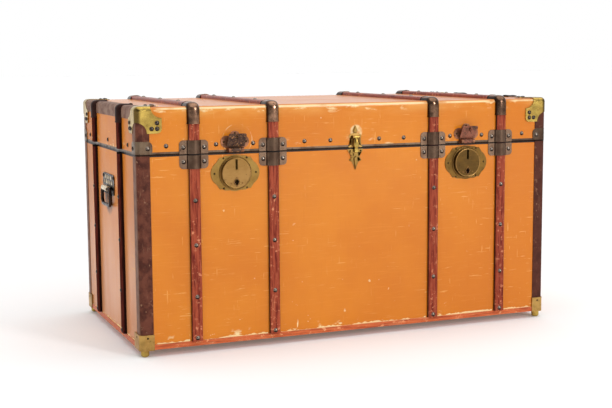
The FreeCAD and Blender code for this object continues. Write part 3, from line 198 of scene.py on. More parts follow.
class TrunkColours(bpy.types.PropertyGroup):
    """Colours of the trunk's finishes."""

    covering: colour("Covering", "Varnished fibre covering", 222, 132, 30)
    covering_deep: colour("Covering, deep", "Darker clouds in the covering", 208, 114, 22)
    covering_pale: colour("Covering, pale", "Rubbed streaks in the covering", 232, 150, 56)
    # On the ends this colour is also a painted sheen
    covering_faded_and_sheen: colour("Covering, faded", "Faded covering on the ends", 230, 178, 146)
    # Also paints the sheen high on the lid's faces
    scratch_and_sheen: colour("Scratch", "Fine scratches", 244, 188, 104)
    # Also paints the highlight line on the lid's top edge
    chip_and_highlight: colour("Chip", "Chips down to the paper", 250, 226, 170)
    slat: colour("Slat", "Stained hardwood", 168, 77, 51)
    slat_dark: colour("Slat, dark", "Dark grain of the slats", 104, 26, 18)
    slat_pale: colour("Slat, pale", "Rubbed wood of the slats", 214, 136, 98)
    # The end slats' colours are darker copies of the slats' colours: painted shade for the ends
    end_slat: colour("End slat", "Darker stain of the end slats", 98, 44, 36)
    end_slat_dark: colour("End slat, dark", "Dark grain of the end slats", 40, 14, 13)
    rail: colour("Rail", "Base rails", 216, 112, 66)
    rail_dark: colour("Rail, dark", "Dark grain of the base rails", 168, 74, 44)
    rail_pale: colour("Rail, pale", "Bare edges of the base rails", 240, 168, 118)
    bare_wood: colour("Bare wood", "Boards and lip strips", 204, 164, 112)
    bare_wood_dark: colour("Bare wood, dark", "Dark grain of boards and lip strips", 164, 120, 74)
    binding: colour("Binding", "Binding on the upright corners", 108, 62, 48)
    binding_dark: colour("Binding, dark", "Dark patches of the binding", 74, 40, 32)
    binding_pale: colour("Binding, pale", "Rubbed spots of the binding", 148, 108, 84)
    end_binding: colour("End binding", "Binding on the ends, which is faded", 146, 114, 96)
    end_binding_dark: colour("End binding, dark", "Dark patches of the ends' binding", 116, 82, 68)
    brass: colour("Brass", "Bottom corner caps and the catch's plate", 188, 150, 85)
    brass_bright: colour("Brass, polished", "Lid corner caps, catch lever and studs", 192, 162, 82)
    drum: colour("Lock drum", "Brushed face of the left lock's drum", 154, 117, 68)
    drum_dull: colour("Lock drum, dull", "Tarnished face of the right lock's drum", 86, 64, 34)
    weathered: colour("Weathered brass", "Catch keeper and leaves, left lock plate", 150, 118, 62)
    tarnish: colour("Tarnish", "Tarnished brass", 126, 94, 46)
    tarnish_dark: colour("Tarnish, dark", "Dirt in the brass", 74, 56, 32)
    copper: colour("Copper", "Hasp plates", 158, 108, 80)
    copper_dark: colour("Copper, dark", "Dark mottling of the hasps, and the ends' elbow caps", 58, 36, 32)
    copper_red: colour("Copper, red", "The right hasp's leaf", 150, 92, 70)
    ochre: colour("Ochre", "Specks on the left hasp's leaf", 176, 124, 78)
    steel: colour("Steel", "Clamps and hinges", 128, 103, 84)
    clip: colour("Clip", "Corner clips and the rim band", 120, 101, 82)
    steel_brown: colour("Steel, brown", "Browned steel", 84, 60, 46)
    bronze: colour("Bronze", "Elbow caps on the front and back", 160, 122, 97)
    bronze_dark: colour("Bronze, dark", "Dark patches of the bronze", 52, 38, 32)
    plate_bright: colour("Handle, bright", "Rubbed barrel and ribs of a handle", 236, 220, 192)
    # Besides dirt, this colour paints shade in seams, gaps, folds and flanks, round keyholes and below nail
    # heads
    soot_and_shade: colour("Soot", "Dirt in the seam and on the shaded caps", 30, 20, 18)
    nail: colour("Nail", "Nail heads", 142, 128, 116)
    nail_dark: colour("Nail, dark", "Dirt on the nail heads", 66, 54, 46)
    lining: colour("Lining", "Cloth-paper lining", 226, 210, 178)
    lining_spot: colour("Lining, spots", "Stains on the lining", 186, 150, 104)
    floor: colour("Floor", "Studio floor", 246, 246, 246)


class TrunkDetails(bpy.types.PropertyGroup):
    """Sizes of the small details."""

    hem_low: length("Hem, low", "Lowest height of the torn hem above the rail", 0.0003)
    hem_high: length("Hem, high", "Greatest height of the torn hem above the rail", 0.0042)
    hem_sheet: length("Hem sheet", "Thickness of the torn paper", 0.0004)
    rim_width: length("Rim width", "Width of the rolled rim on a lock drum", 0.0018)
    rim_rise: length("Rim rise", "Height of the rolled rim above the drum's face", 0.0002)
    elbow_rim: length("Elbow rim", "Height of the rolled rim at an elbow cap's ends", 0.003)
    elbow_half: length("Elbow half width", "Half width of an elbow cap", 0.014)
    elbow_crown: length("Elbow crown", "Height of an elbow cap's crown above the face", 0.0105)
    elbow_top: length("Elbow top", "Height of an elbow cap's crown above the top", 0.0095)
    end_crown: length("End crown", "Height of an end cap's crown above the top", 0.0038)
    key_half: length("Key plate, half width", "Half width of the keyhole's plate", 0.0062)
    key_height: length("Key plate, half height", "Half height of the keyhole's plate", 0.0105)
    rib_radius: length("Rib radius", "Radius of the ribs on a handle plate", 0.0026)


class TrunkStudio(bpy.types.PropertyGroup):
    """Camera and lights."""

    lens: number("Lens", "Focal length on a 36 mm sensor, in mm", 69.08, "CAMERA")
    key_power: number("Key", "Power of the key light, in watts", 125.0, "POWER")
    fill_power: number("Fill", "Power of the fill light, in watts", 3.0, "POWER")
    top_power: number("Top", "Strength of the soft light from above", 1.15)
    surround: number("Surround", "Strength of the white surround behind the trunk", 0.9)
    surround_dim: number("Surround, dim", "Strength of the surround on the camera's side", 0.28)


class Finish:
    """A material on Object coordinates, put together from a few kinds of node."""

    def __init__(self, name, metallic=0.0, coat=0.0, coat_roughness=0.2, specular=0.25):
        self.material = bpy.data.materials.new(name)
        self.material.use_nodes = True
        self.tree = self.material.node_tree
        self.shader = self.tree.nodes["Principled BSDF"]
        self.shader.inputs["Metallic"].default_value = metallic
        self.shader.inputs["Specular IOR Level"].default_value = 0.5 if metallic else specular
        self.shader.inputs["Coat Weight"].default_value = coat
        self.shader.inputs["Coat Roughness"].default_value = coat_roughness
        self.place = self.node("TexCoord").outputs["Object"]
        split = self.node("SeparateXYZ")
        self.feed(split.inputs[0], self.place)
        self.x, self.y, self.z = split.outputs

    def node(self, kind, **settings):
        item = self.tree.nodes.new(f"ShaderNode{kind}")
        for key, value in settings.items():
            setattr(item, key, value)
        return item

    def feed(self, socket, value):
        if isinstance(value, bpy.types.NodeSocket):
            self.tree.links.new(value, socket)
        elif socket.type == "RGBA":
            socket.default_value = (*value, 1)
        else:
            socket.default_value = value

    def noise(self, scale, stretch=(1, 1, 1), detail=3.0, shift=(0, 0, 0), turn=(0, 0, 0)):
        mapping = self.node("Mapping")
        self.feed(mapping.inputs["Vector"], self.place)
        self.feed(mapping.inputs["Location"], shift)
        self.feed(mapping.inputs["Rotation"], turn)
        self.feed(mapping.inputs["Scale"], stretch)
        texture = self.node("TexNoise")
        self.feed(texture.inputs["Vector"], mapping.outputs["Vector"])
        self.feed(texture.inputs["Scale"], scale)
        self.feed(texture.inputs["Detail"], detail)
        self.feed(texture.inputs["Roughness"], 0.6)
        return texture.outputs["Fac"]

    def band(self, value, low, high, least=0.0, most=1.0):
        """Rise smoothly from least at low to most at high."""
        item = self.node("MapRange", interpolation_type="SMOOTHSTEP")
        parts = {"Value": value, "From Min": low, "From Max": high, "To Min": least, "To Max": most}
        for key, part in parts.items():
            self.feed(item.inputs[key], part)
        return item.outputs["Result"]

    def math(self, operation, first, second=0.0):
        item = self.node("Math", operation=operation)
        self.feed(item.inputs[0], first)
        self.feed(item.inputs[1], second)
        return item.outputs[0]

    def times(self, first, *others):
        for other in others:
            first = self.math("MULTIPLY", first, other)
        return first

    def most(self, first, *others):
        for other in others:
            first = self.math("MAXIMUM", first, other)
        return first

    def mix(self, share, first, second):
        item = self.node("Mix", data_type="RGBA")
        self.feed(item.inputs[0], share)
        self.feed(item.inputs[6], first)
        self.feed(item.inputs[7], second)
        return item.outputs[2]

    def away_from(self, point):
        item = self.node("VectorMath", operation="DISTANCE")
        self.feed(item.inputs[0], self.place)
        self.feed(item.inputs[1], point)
        return item.outputs["Value"]

    def bump(self, height, strength, distance=0.001):
        item = self.node("Bump")
        self.feed(item.inputs["Strength"], strength)
        self.feed(item.inputs["Distance"], distance)
        self.feed(item.inputs["Height"], height)
        self.feed(self.shader.inputs["Normal"], item.outputs["Normal"])

    def paint(self, base, roughness):
        self.feed(self.shader.inputs["Base Color"], base)
        self.feed(self.shader.inputs["Roughness"], roughness)
        return self.material


def scuffs(finish):
    """Fine scratches in three directions, gathered in patches."""
    patches = finish.band(finish.noise(6.0, shift=(3, 1, 2)), 0.44, 0.6)
    level = finish.band(finish.noise(16, stretch=(1, 1, 11), shift=(1, 5, 0)), 0.64, 0.7)
    rising = finish.band(finish.noise(20, stretch=(1, 1, 12), turn=(0, 0.7, 0)), 0.66, 0.7)
    steep = finish.noise(18, stretch=(12, 12, 1), turn=(0, 0.25, 0), shift=(0, 2, 7))
    falling = finish.band(steep, 0.67, 0.7)
    return finish.times(patches, finish.most(level, rising, falling))


def covering_finish(name, colours):
    """Varnished orange-tan fibre with clouds, streaks, scratches and small chips.

    It has painted shade deepening to the right. On the ends it is dull and paler, faded with a painted
    sheen that is strongest low down, and has smoked corners.
    """
    finish = Finish(name, coat_roughness=0.16, specular=0.08)
    at_end = finish.band(finish.math("ABSOLUTE", finish.x), END - 0.0015, END - 0.0005)
    dulled = finish.times(at_end, finish.band(finish.z, 0.14, 0.46, 0.45, 1.0))
    finish.feed(finish.shader.inputs["Coat Weight"], finish.band(dulled, 0.0, 1.0, 0.45, 0.06))
    # Paler on the ends: fading with a painted sheen, strongest low down
    faded = finish.times(at_end, finish.band(finish.z, 0.14, 0.44, 0.5, 0.05))
    drips = finish.noise(9, stretch=(2, 2, 0.4), shift=(1, 3, 0))
    faded = finish.times(faded, finish.band(drips, 0.36, 0.62, 0.6, 1.0))
    smoked = finish.times(at_end, finish.band(finish.math("ABSOLUTE", finish.y), 0.15, 0.235, most=0.25))
    # Painted shade deepening to the right
    shade = finish.band(finish.x, 0.1, 0.5, most=0.4)
    clouds = finish.band(finish.noise(4.0, detail=4), 0.32, 0.7, most=0.7)
    level = finish.band(finish.noise(20, stretch=(1, 1, 14)), 0.52, 0.76, most=0.3)
    upright = finish.band(finish.noise(16, stretch=(16, 16, 1)), 0.55, 0.8, most=0.3)
    base = finish.mix(clouds, colours.covering, colours.covering_deep)
    base = finish.mix(level, base, colours.covering_pale)
    base = finish.mix(upright, base, colours.covering_deep)
    base = finish.mix(shade, base, colours.covering_deep)
    base = finish.mix(faded, base, colours.covering_faded_and_sheen)
    base = finish.mix(smoked, base, colours.binding)
    rubs = finish.times(scuffs(finish), 0.5)
    base = finish.mix(rubs, base, colours.scratch_and_sheen)
    gathered = finish.band(finish.noise(5.0, shift=(7, 2, 4)), 0.44, 0.58)
    dots = finish.band(finish.noise(64, detail=2, shift=(0, 3, 1)), 0.72, 0.77, most=0.7)
    chips = finish.times(gathered, dots)
    base = finish.mix(chips, base, colours.chip_and_highlight)
    return finish, base, finish.most(rubs, chips)


def seal_covering(finish, base, wear):
    """Give the covering its fine grain and weave, rougher where it is worn."""
    grain = finish.noise(420, detail=2)
    weave = finish.noise(150, stretch=(1, 1, 6), detail=2)
    height = finish.math("SUBTRACT", finish.math("ADD", grain, weave), finish.times(wear, 1.6))
    finish.bump(height, 0.12, 0.0006)
    return finish.paint(base, finish.band(finish.math("ADD", wear, finish.noise(9)), 0.3, 1.4, 0.3, 0.62))


def body_covering_finish(colours):
    """The case's covering, torn along the rails, with a painted shadow under the seam and painted shade on
    grimy patches under the handles.
    """
    finish, base, wear = covering_finish("covering_of_the_case", colours)
    low = finish.band(finish.z, RAIL_TOP + 0.02, RAIL_TOP + 0.003)
    torn = finish.times(low, finish.band(finish.noise(30, stretch=(1, 1, 2), shift=(2, 2, 2)), 0.6, 0.68))
    above = finish.band(finish.z, RAIL_TOP + 0.07, RAIL_TOP + 0.02)
    dashes = finish.band(finish.noise(26, stretch=(4, 4, 0.6), shift=(5, 0, 0)), 0.7, 0.74)
    marks = finish.most(torn, finish.times(above, dashes))
    base = finish.mix(marks, base, colours.chip_and_highlight)
    # Painted shadow line under the lid's rim band
    base = finish.mix(finish.band(finish.z, SEAM - 0.0032, SEAM - 0.0018), base, colours.soot_and_shade)
    mottle = finish.band(finish.noise(80, detail=4), 0.3, 0.56, 0.25, 0.9)
    # Painted shade and grime under each handle
    for side in SIDES:
        away = finish.away_from((side * END, 0.006, HANDLE_HEIGHT - SHADE_AND_GRIME_DROP))
        shade_and_grime = finish.times(finish.band(away, 0.05, 0.03), mottle)
        base = finish.mix(shade_and_grime, base, colours.bronze_dark)
    return seal_covering(finish, base, finish.most(wear, marks))


def lid_covering_finish(colours):
    """The lid's covering, with its rubbed top edge and a painted highlight line along it, a painted sheen
    below it and the marks around its fittings.
    """
    finish, base, wear = covering_finish("covering_of_the_lid", colours)
    below = finish.math("SUBTRACT", LID_TOP, finish.z)
    inside = finish.math("SUBTRACT", -FRONT, finish.math("ABSOLUTE", finish.y))
    # The rubbed top edge, with a painted highlight line along it
    edge = finish.times(finish.band(below, 0.0068, 0.0052), finish.band(below, 0.0016, 0.0026))
    edge = finish.times(edge, finish.band(inside, 0.0105, 0.0075))
    edge = finish.times(edge, finish.band(finish.noise(7, stretch=(1, 0.1, 0.3), detail=5), 0.34, 0.5))
    # Painted sheen high on the lid's front and back
    painted_sheen = finish.times(finish.band(below, 0.034, 0.009), finish.band(inside, 0.0015, 0.0005))
    veil = finish.noise(9, stretch=(1, 1, 3), shift=(2, 0, 0))
    painted_sheen = finish.times(painted_sheen, finish.band(veil, 0.36, 0.66, most=0.34))
    base = finish.mix(painted_sheen, base, colours.scratch_and_sheen)
    ragged = finish.noise(34, stretch=(0.8, 1, 2), shift=(4, 1, 0), detail=5)
    rubbed = finish.band(ragged, 0.56, 0.68, most=0.7)
    high = finish.times(finish.band(below, 0.024, 0.012), finish.band(below, 0.0052, 0.0062))
    low = finish.band(finish.z, LID_FOOT + 0.03, LID_FOOT + 0.016)
    low = finish.times(low, finish.band(finish.noise(9), 0.46, 0.58))
    nicks = finish.times(finish.most(high, low), rubbed)
    base = finish.mix(nicks, base, colours.chip_and_highlight)
    spots = finish.noise(60, detail=2)
    halo = finish.band(finish.away_from(CATCH_HALO), 0.0165, 0.0125)
    halo = finish.times(halo, finish.band(spots, 0.36, 0.6, 0.3, 0.85))
    marks = finish.most(edge, halo)
    trace = finish.math("SUBTRACT", finish.away_from(HASP_TRACE), HASP_TRACE_RADIUS)
    trace = finish.band(finish.math("ABSOLUTE", trace), 0.0014, 0.0003)
    worn = finish.band(spots, 0.36, 0.6, most=0.5)
    marks = finish.most(marks, finish.times(trace, worn))
    base = finish.mix(finish.times(marks, 0.9), base, colours.chip_and_highlight)
    return seal_covering(finish, base, finish.most(wear, marks))


GRAIN_STRETCH = {"x": (0.7, 9, 9), "y": (9, 0.7, 9), "z": (9, 9, 0.7)}


def wood_finish(name, along, dark, middle, pale, coat=0.04, specular=0.1, soot_and_shade=None, foot=None):
    """Stained wood with its grain along one axis, rubbed pale in flecks.

    soot, if given, is the colour of painted shade in the clamps' gap at the seam and along the foot of a
    slat, and the dark colour also paints shade deepening to the right; foot names the axis that the slat
    stands out on and the place of the face that it stands on.
    """
    finish = Finish(name, coat=coat, coat_roughness=0.25, specular=specular)
    stretch = GRAIN_STRETCH[along]
    grain = finish.noise(30, stretch=stretch, detail=6)
    pores = finish.noise(110, stretch=stretch, detail=2, shift=(1, 2, 3))
    base = finish.mix(finish.band(grain, 0.3, 0.6), dark, middle)
    base = finish.mix(finish.band(pores, 0.56, 0.72, most=0.65), base, dark)
    flecks = finish.band(finish.noise(120, detail=3, shift=(5, 1, 0)), 0.56, 0.66)
    patches = finish.band(finish.noise(11, detail=2, shift=(0, 4, 2)), 0.4, 0.56)
    rubbed = finish.times(flecks, patches)
    streaks = finish.band(finish.noise(24, stretch=stretch, shift=(2, 0, 8)), 0.6, 0.74, most=0.6)
    wear = finish.most(rubbed, streaks)
    base = finish.mix(wear, base, pale)
    if soot_and_shade:
        # Painted shade in the gap between the clamps' halves
        away = finish.math("ABSOLUTE", finish.math("SUBTRACT", finish.z, (SEAM + LID_FOOT) / 2))
        base = finish.mix(finish.band(away, 0.0045, 0.003), base, soot_and_shade)
        # Painted shade deepening to the right
        base = finish.mix(finish.band(finish.x, 0.0, 0.2, most=0.2), base, dark)
        # Painted shade on the slat's sides next to the face
        axis, face = foot
        out = finish.math("SUBTRACT", finish.math("ABSOLUTE", getattr(finish, axis)), face)
        base = finish.mix(finish.band(out, 0.0072, 0.0042, most=0.9), base, soot_and_shade)
    height = finish.math("ADD", finish.times(pores, -0.7), finish.times(rubbed, -0.8))
    finish.bump(height, 0.25, 0.0006)
    return finish.paint(base, finish.band(finish.math("ADD", grain, wear), 0.3, 1.4, 0.34, 0.62))


def binding_finish(name, base_colour, dark, pale, faded=None):
    """Leather-like binding with a pebbled grain and rubbed spots; faded is its colour on the ends."""
    finish = Finish(name, coat=0.03, coat_roughness=0.3, specular=0.06)
    clouds = finish.noise(42, detail=5)
    pebble = finish.noise(320, detail=2)
    flecks = finish.noise(110, detail=3, shift=(2, 2, 0))
    base = finish.mix(finish.band(clouds, 0.38, 0.64), base_colour, dark)
    patches = finish.band(finish.noise(16, shift=(4, 0, 1)), 0.42, 0.58)
    wear = finish.times(finish.band(flecks, 0.6, 0.68), patches)
    rubbed = finish.band(finish.noise(40, stretch=(5, 5, 0.6), shift=(1, 0, 3)), 0.62, 0.74, most=0.55)
    wear = finish.most(wear, rubbed)
    if faded:
        at_end = finish.band(finish.math("ABSOLUTE", finish.x), END + 0.0001, END + 0.0006, most=0.5)
        base = finish.mix(at_end, base, faded)
        # Painted shade deepening to the right
        base = finish.mix(finish.band(finish.x, 0.0, 0.4, most=0.6), base, dark)
    base = finish.mix(wear, base, pale)
    finish.bump(finish.math("ADD", pebble, finish.times(flecks, 0.6)), 0.3, 0.0007)
    return finish.paint(base, finish.band(clouds, 0.3, 0.7, 0.4, 0.58))


def metal_finish(
        name, bright, dull, dirt_and_shade, smooth, rough, streak=(1, 1, 1), amount=0.6, spotted=0.85, dents=0.0,
        stain=None, crease=None, sides=None, seam=None, corner=None, metallic=1.0):
    """Aged metal: dull clouds, dirty spots and fine scratches that roughen it.

    crease, seam, corner and sides are colours for the fold of a clamp, the foot of the lid's band, the
    upright edge of a corner cap and the flanks of the elbow caps. The fold, the band's foot and the flanks
    are painted shade, and the band, the clips and the elbow caps also get painted shade deepening to the
    right. stain is the middle of the painted shade around a keyhole.
    """
    finish = Finish(name, metallic=metallic, specular=0.03)
    clouds = finish.noise(30, detail=5)
    spots = finish.noise(140, detail=3, shift=(3, 0, 5))
    hair = finish.noise(90, stretch=streak, detail=3, shift=(0, 6, 1))
    base = finish.mix(finish.band(clouds, 0.4, 0.66, most=amount), bright, dull)
    base = finish.mix(finish.band(hair, 0.5, 0.75, most=0.4), base, dull)
    base = finish.mix(finish.band(spots, 0.62, 0.74, most=spotted), base, dirt_and_shade)
    if crease:
        # Painted shade in the fold where the saddle rises from the ears, and a darker arch
        out = finish.math("SUBTRACT", finish.math("ABSOLUTE", finish.y), -FRONT)
        fold = finish.times(finish.band(out, 0.0017, 0.002), finish.band(out, 0.0062, 0.003))
        base = finish.mix(finish.times(fold, 0.85), base, crease)
        base = finish.mix(finish.band(out, 0.0045, 0.007, most=0.45), base, dirt_and_shade)
    if seam:
        # Painted shade deepening to the right
        base = finish.mix(finish.band(finish.x, 0.2, 0.46, most=0.6), base, dirt_and_shade)
        # Painted shadow line at the band's foot, over the seam's gap
        foot = finish.band(finish.z, LID_FOOT + 0.0036, LID_FOOT + 0.0022, most=0.92)
        base = finish.mix(foot, base, seam)
    if corner:
        past = finish.math("ADD", finish.math("ABSOLUTE", finish.x), finish.math("ABSOLUTE", finish.y))
        past = finish.math("SUBTRACT", past, END - FRONT)
        base = finish.mix(finish.band(past, -0.009, -0.002, most=0.85), base, corner)
    if stain:
        # Painted shade around the keyhole
        base = finish.mix(finish.band(finish.away_from(stain), 0.0085, 0.0045), base, dirt_and_shade)
    if sides:
        # Painted shade on the elbow caps' flanks
        off = [finish.math("ABSOLUTE", finish.math("SUBTRACT", finish.x, x)) for x in SLATS]
        nearest = off[0]
        for other in off[1:]:
            nearest = finish.math("MINIMUM", nearest, other)
        base = finish.mix(finish.band(nearest, 0.0085, 0.0132, most=0.9), base, sides)
        # Painted shade deepening to the right
        base = finish.mix(finish.band(finish.x, 0.0, 0.15, most=0.4), base, sides)
    height = finish.math("ADD", finish.times(hair, 0.5), finish.times(spots, 0.6))
    if dents:
        hollows = finish.noise(26, detail=1, shift=(6, 2, 1))
        height = finish.math("ADD", height, finish.times(hollows, dents))
    finish.bump(height, 0.12, 0.0005)
    worn = finish.math("ADD", clouds, finish.times(hair, 0.5))
    return finish.paint(base, finish.band(worn, 0.45, 0.95, smooth, rough))


def head_finish(name, colours, rows, dirty_from=None):
    """Nail and rivet heads: rubbed bright above the middle of each row, with painted shade below it; darker
    on the ends.

    From the height dirty_from upwards the whole head is dirty.
    """
    finish = Finish(name, metallic=1.0)
    spots = finish.noise(160, detail=3, shift=(3, 0, 5))
    base = finish.mix(finish.band(spots, 0.5, 0.7, most=0.6), colours.nail, colours.nail_dark)
    dirt_and_shade = finish.band(finish.math("ABSOLUTE", finish.x), END - 0.001, END + 0.001, most=0.9)
    # Painted shade on the lower part of each row's heads
    for row in rows:
        below = finish.band(finish.z, row + 0.0008, row - 0.0022)
        dirt_and_shade = finish.most(dirt_and_shade, finish.times(below, finish.band(finish.z, row - 0.009, row - 0.006)))
    if dirty_from:
        dirt_and_shade = finish.most(dirt_and_shade, finish.band(finish.z, dirty_from, dirty_from + 0.005, most=0.8))
    base = finish.mix(finish.times(dirt_and_shade, 0.92), base, colours.soot_and_shade)
    finish.bump(spots, 0.1, 0.0004)
    return finish.paint(base, finish.band(spots, 0.4, 0.7, 0.2, 0.38))


def handle_finish(colours):
    """A handle's plate, dark and dirty, with its rolled barrel rubbed bright."""
    finish = Finish("handle_plate", metallic=1.0)
    rise = finish.math("ABSOLUTE", finish.math("SUBTRACT", finish.z, HANDLE_HEIGHT))
    proud = finish.band(finish.math("ABSOLUTE", finish.x), END + 0.003, END + 0.0045)
    barrel = finish.times(proud, finish.band(rise, 0.0085, 0.0075))
    clouds = finish.noise(90, detail=4)
    plate = finish.mix(finish.band(clouds, 0.36, 0.6), colours.bronze_dark, colours.soot_and_shade)
    rubbed = finish.mix(finish.band(clouds, 0.5, 0.7), colours.plate_bright, colours.steel)
    finish.bump(clouds, 0.15, 0.0006)
    return finish.paint(finish.mix(barrel, plate, rubbed), finish.band(clouds, 0.35, 0.7, 0.24, 0.46))


def speckled_finish(name, ground, speck, mid):
    """The hasp leaves: dull metal, mottled and speckled."""
    finish = Finish(name, metallic=0.55)
    clouds = finish.noise(70, detail=4)
    specks = finish.noise(260, detail=2, shift=(2, 1, 0))
    base = finish.mix(finish.band(clouds, 0.46, 0.66), ground, mid)
    base = finish.mix(finish.band(specks, 0.57, 0.66), base, speck)
    finish.bump(finish.math("ADD", clouds, specks), 0.35, 0.0006)
    return finish.paint(base, finish.band(clouds, 0.3, 0.7, 0.42, 0.68))


def lining_finish(name, base_colour, spot):
    """Cream cloth-paper with a fine weave and brown age spots."""
    finish = Finish(name)
    warp = finish.noise(500, stretch=(1, 1, 0.05), detail=1)
    weft = finish.noise(500, stretch=(0.05, 0.05, 1), detail=1)
    weave = finish.math("ADD", warp, weft)
    stain = finish.band(finish.noise(7, detail=4), 0.52, 0.74, most=0.45)
    age = finish.times(finish.band(finish.noise(60, shift=(1, 0, 2)), 0.66, 0.72), 0.6)
    base = finish.mix(finish.band(weave, 0.8, 1.2, most=0.22), base_colour, spot)
    base = finish.mix(finish.most(stain, age), base, spot)
    finish.bump(weave, 0.25, 0.0004)
    return finish.paint(base, finish.band(weave, 0.7, 1.3, 0.75, 0.9))


def give(finish, *names):
    """Put a finish on solid pieces."""
    for name in names:
        slots = NODES[name].data.materials
        slots.clear()
        slots.append(finish)


def seat(face, across, up, out=0.0):
    """The turn and place of a fitting's frame on a face of the case."""
    depth = -FRONT if face in ("front", "back") else END
    turn = FACE_TURNS[face]
    local = Vector((across if face in ("front", "right") else -across, up, depth + out))
    return Matrix.Translation(turn @ local) @ turn.to_4x4()


def moved(mesh, verts, matrix):
    """Carry new vertices from a fitting's frame to their place."""
    bmesh.ops.transform(mesh, matrix=matrix, verts=verts)


def bar(mesh, matrix, size, middle, edge, segments=3):
    """A bar with rounded edges."""
    made = bmesh.ops.create_cube(mesh, size=1.0)
    verts = made["verts"]
    bmesh.ops.scale(mesh, vec=size, verts=verts)
    bmesh.ops.translate(mesh, vec=middle, verts=verts)
    moved(mesh, verts, matrix)
    edges = list({item for vert in verts for item in vert.link_edges})
    bmesh.ops.bevel(
        mesh, geom=edges, offset=edge, segments=segments, profile=0.5, affect="EDGES", material=-1,
        clamp_overlap=True)


def ring(mesh, matrix, profile, steps=64):
    """A closed ring: a (radius, height) profile turned about the frame's z axis."""
    verts = [mesh.verts.new((radius, 0, height)) for radius, height in profile]
    edges = [mesh.edges.new((verts[i - 1], verts[i])) for i in range(len(verts))]
    before = set(mesh.verts) - set(verts)
    bmesh.ops.spin(
        mesh, geom=verts + edges, cent=(0, 0, 0), axis=(0, 0, 1), angle=math.tau, steps=steps,
        use_merge=True)
    moved(mesh, [vert for vert in mesh.verts if vert not in before], matrix)


def dome(mesh, matrix, radius, rise, across, up):
    """A small round head."""
    made = bmesh.ops.create_uvsphere(mesh, u_segments=16, v_segments=8, radius=1.0)
    verts = made["verts"]
    bmesh.ops.scale(mesh, vec=(radius, radius, rise), verts=verts)
    bmesh.ops.translate(mesh, vec=(across, up, 0), verts=verts)
    moved(mesh, verts, matrix)


def facet(mesh, matrix, outline, foot, peak, edge):
    """A raised leaf: an outline drawn up to a bevelled crown."""
    before = set(mesh.verts)
    verts = [mesh.verts.new((across, up, foot)) for across, up in outline]
    face = mesh.faces.new(verts)
    raised = bmesh.ops.extrude_face_region(mesh, geom=[face])["geom"]
    top = [item for item in raised if isinstance(item, bmesh.types.BMVert)]
    bmesh.ops.translate(mesh, vec=(0, 0, peak - foot), verts=top)
    crown = [item for item in raised if isinstance(item, bmesh.types.BMFace)]
    bmesh.ops.inset_region(mesh, faces=crown, thickness=edge, depth=edge)
    moved(mesh, [vert for vert in mesh.verts if vert not in before], matrix)


def piece(name, mesh, body, finish):
    """Make a mesh a piece that rides on a body."""
    bmesh.ops.remove_doubles(mesh, verts=mesh.verts, dist=1e-6)
    bmesh.ops.recalc_face_normals(mesh, faces=mesh.faces)
    data = bpy.data.meshes.new(name)
    mesh.to_mesh(data)
    mesh.free()
    data.shade_smooth()
    data.set_sharp_from_angle(angle=math.radians(38))
    data.materials.append(finish)
    item = bpy.data.objects.new(name, data)
    bpy.context.scene.collection.objects.link(item)
    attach(item, body)
    return item


class TRUNK_OT_covering(bpy.types.Operator):
    """Finish the covering of the case and of the lid."""

    bl_idname = "trunk.covering"
    bl_label = "Covering"

    def execute(self, context):
        colours = context.scene.trunk_colours
        give(body_covering_finish(colours), "body_covering")
        give(lid_covering_finish(colours), "lid_covering")
        return {"FINISHED"}


class TRUNK_OT_wood(bpy.types.Operator):
    """Finish the slats, rails, lip strips and boards."""

    bl_idname = "trunk.wood"
    bl_label = "Wood"

    def execute(self, context):
        colours = context.scene.trunk_colours
        slat = (colours.slat_dark, colours.slat, colours.slat_pale)
        # The slats get painted shade at the seam, along their feet and towards the right
        upright = wood_finish("slat_wood_upright", "z", *slat, soot_and_shade=colours.soot_and_shade, foot=("y", -FRONT))
        give(upright, "front_slats", "back_slats", "lid_face_slats")
        # Painted shade: the end slats get darker copies of the slats' colours
        stain = (colours.end_slat_dark, colours.end_slat, colours.end_slat)
        shaded = wood_finish(
            "slat_wood_at_the_ends", "z", *stain, coat=0.0, specular=0.0,
            soot_and_shade=colours.soot_and_shade, foot=("x", END))
        give(shaded, "end_slats", "lid_end_slats")
        across = wood_finish("slat_wood_across", "y", *slat, coat=0.35)
        give(across, "lid_top_slats")
        rail = (colours.rail_dark, colours.rail, colours.rail_pale)
        give(wood_finish("rail_wood", "x", *rail), "base_rails")
        bare = (colours.bare_wood_dark, colours.bare_wood, colours.bare_wood)
        boards = [name for name in NODES if name.endswith("_board")]
        give(wood_finish("bare_wood", "x", *bare, coat=0.0), "body_lip_strips", *boards)
        return {"FINISHED"}


class TRUNK_OT_bindings(bpy.types.Operator):
    """Finish the bindings on the corners and on the ends' top edges."""

    bl_idname = "trunk.bindings"
    bl_label = "Bindings"

    def execute(self, context):
        colours = context.scene.trunk_colours
        tones = (colours.binding, colours.binding_dark, colours.binding_pale)
        dark = binding_finish("corner_binding", *tones, faded=colours.end_binding)
        give(dark, "body_corner_bindings", "lid_corner_bindings")
        tones = (colours.end_binding, colours.end_binding_dark, colours.binding_pale)
        give(binding_finish("end_binding", *tones), "lid_end_bindings")
        return {"FINISHED"}


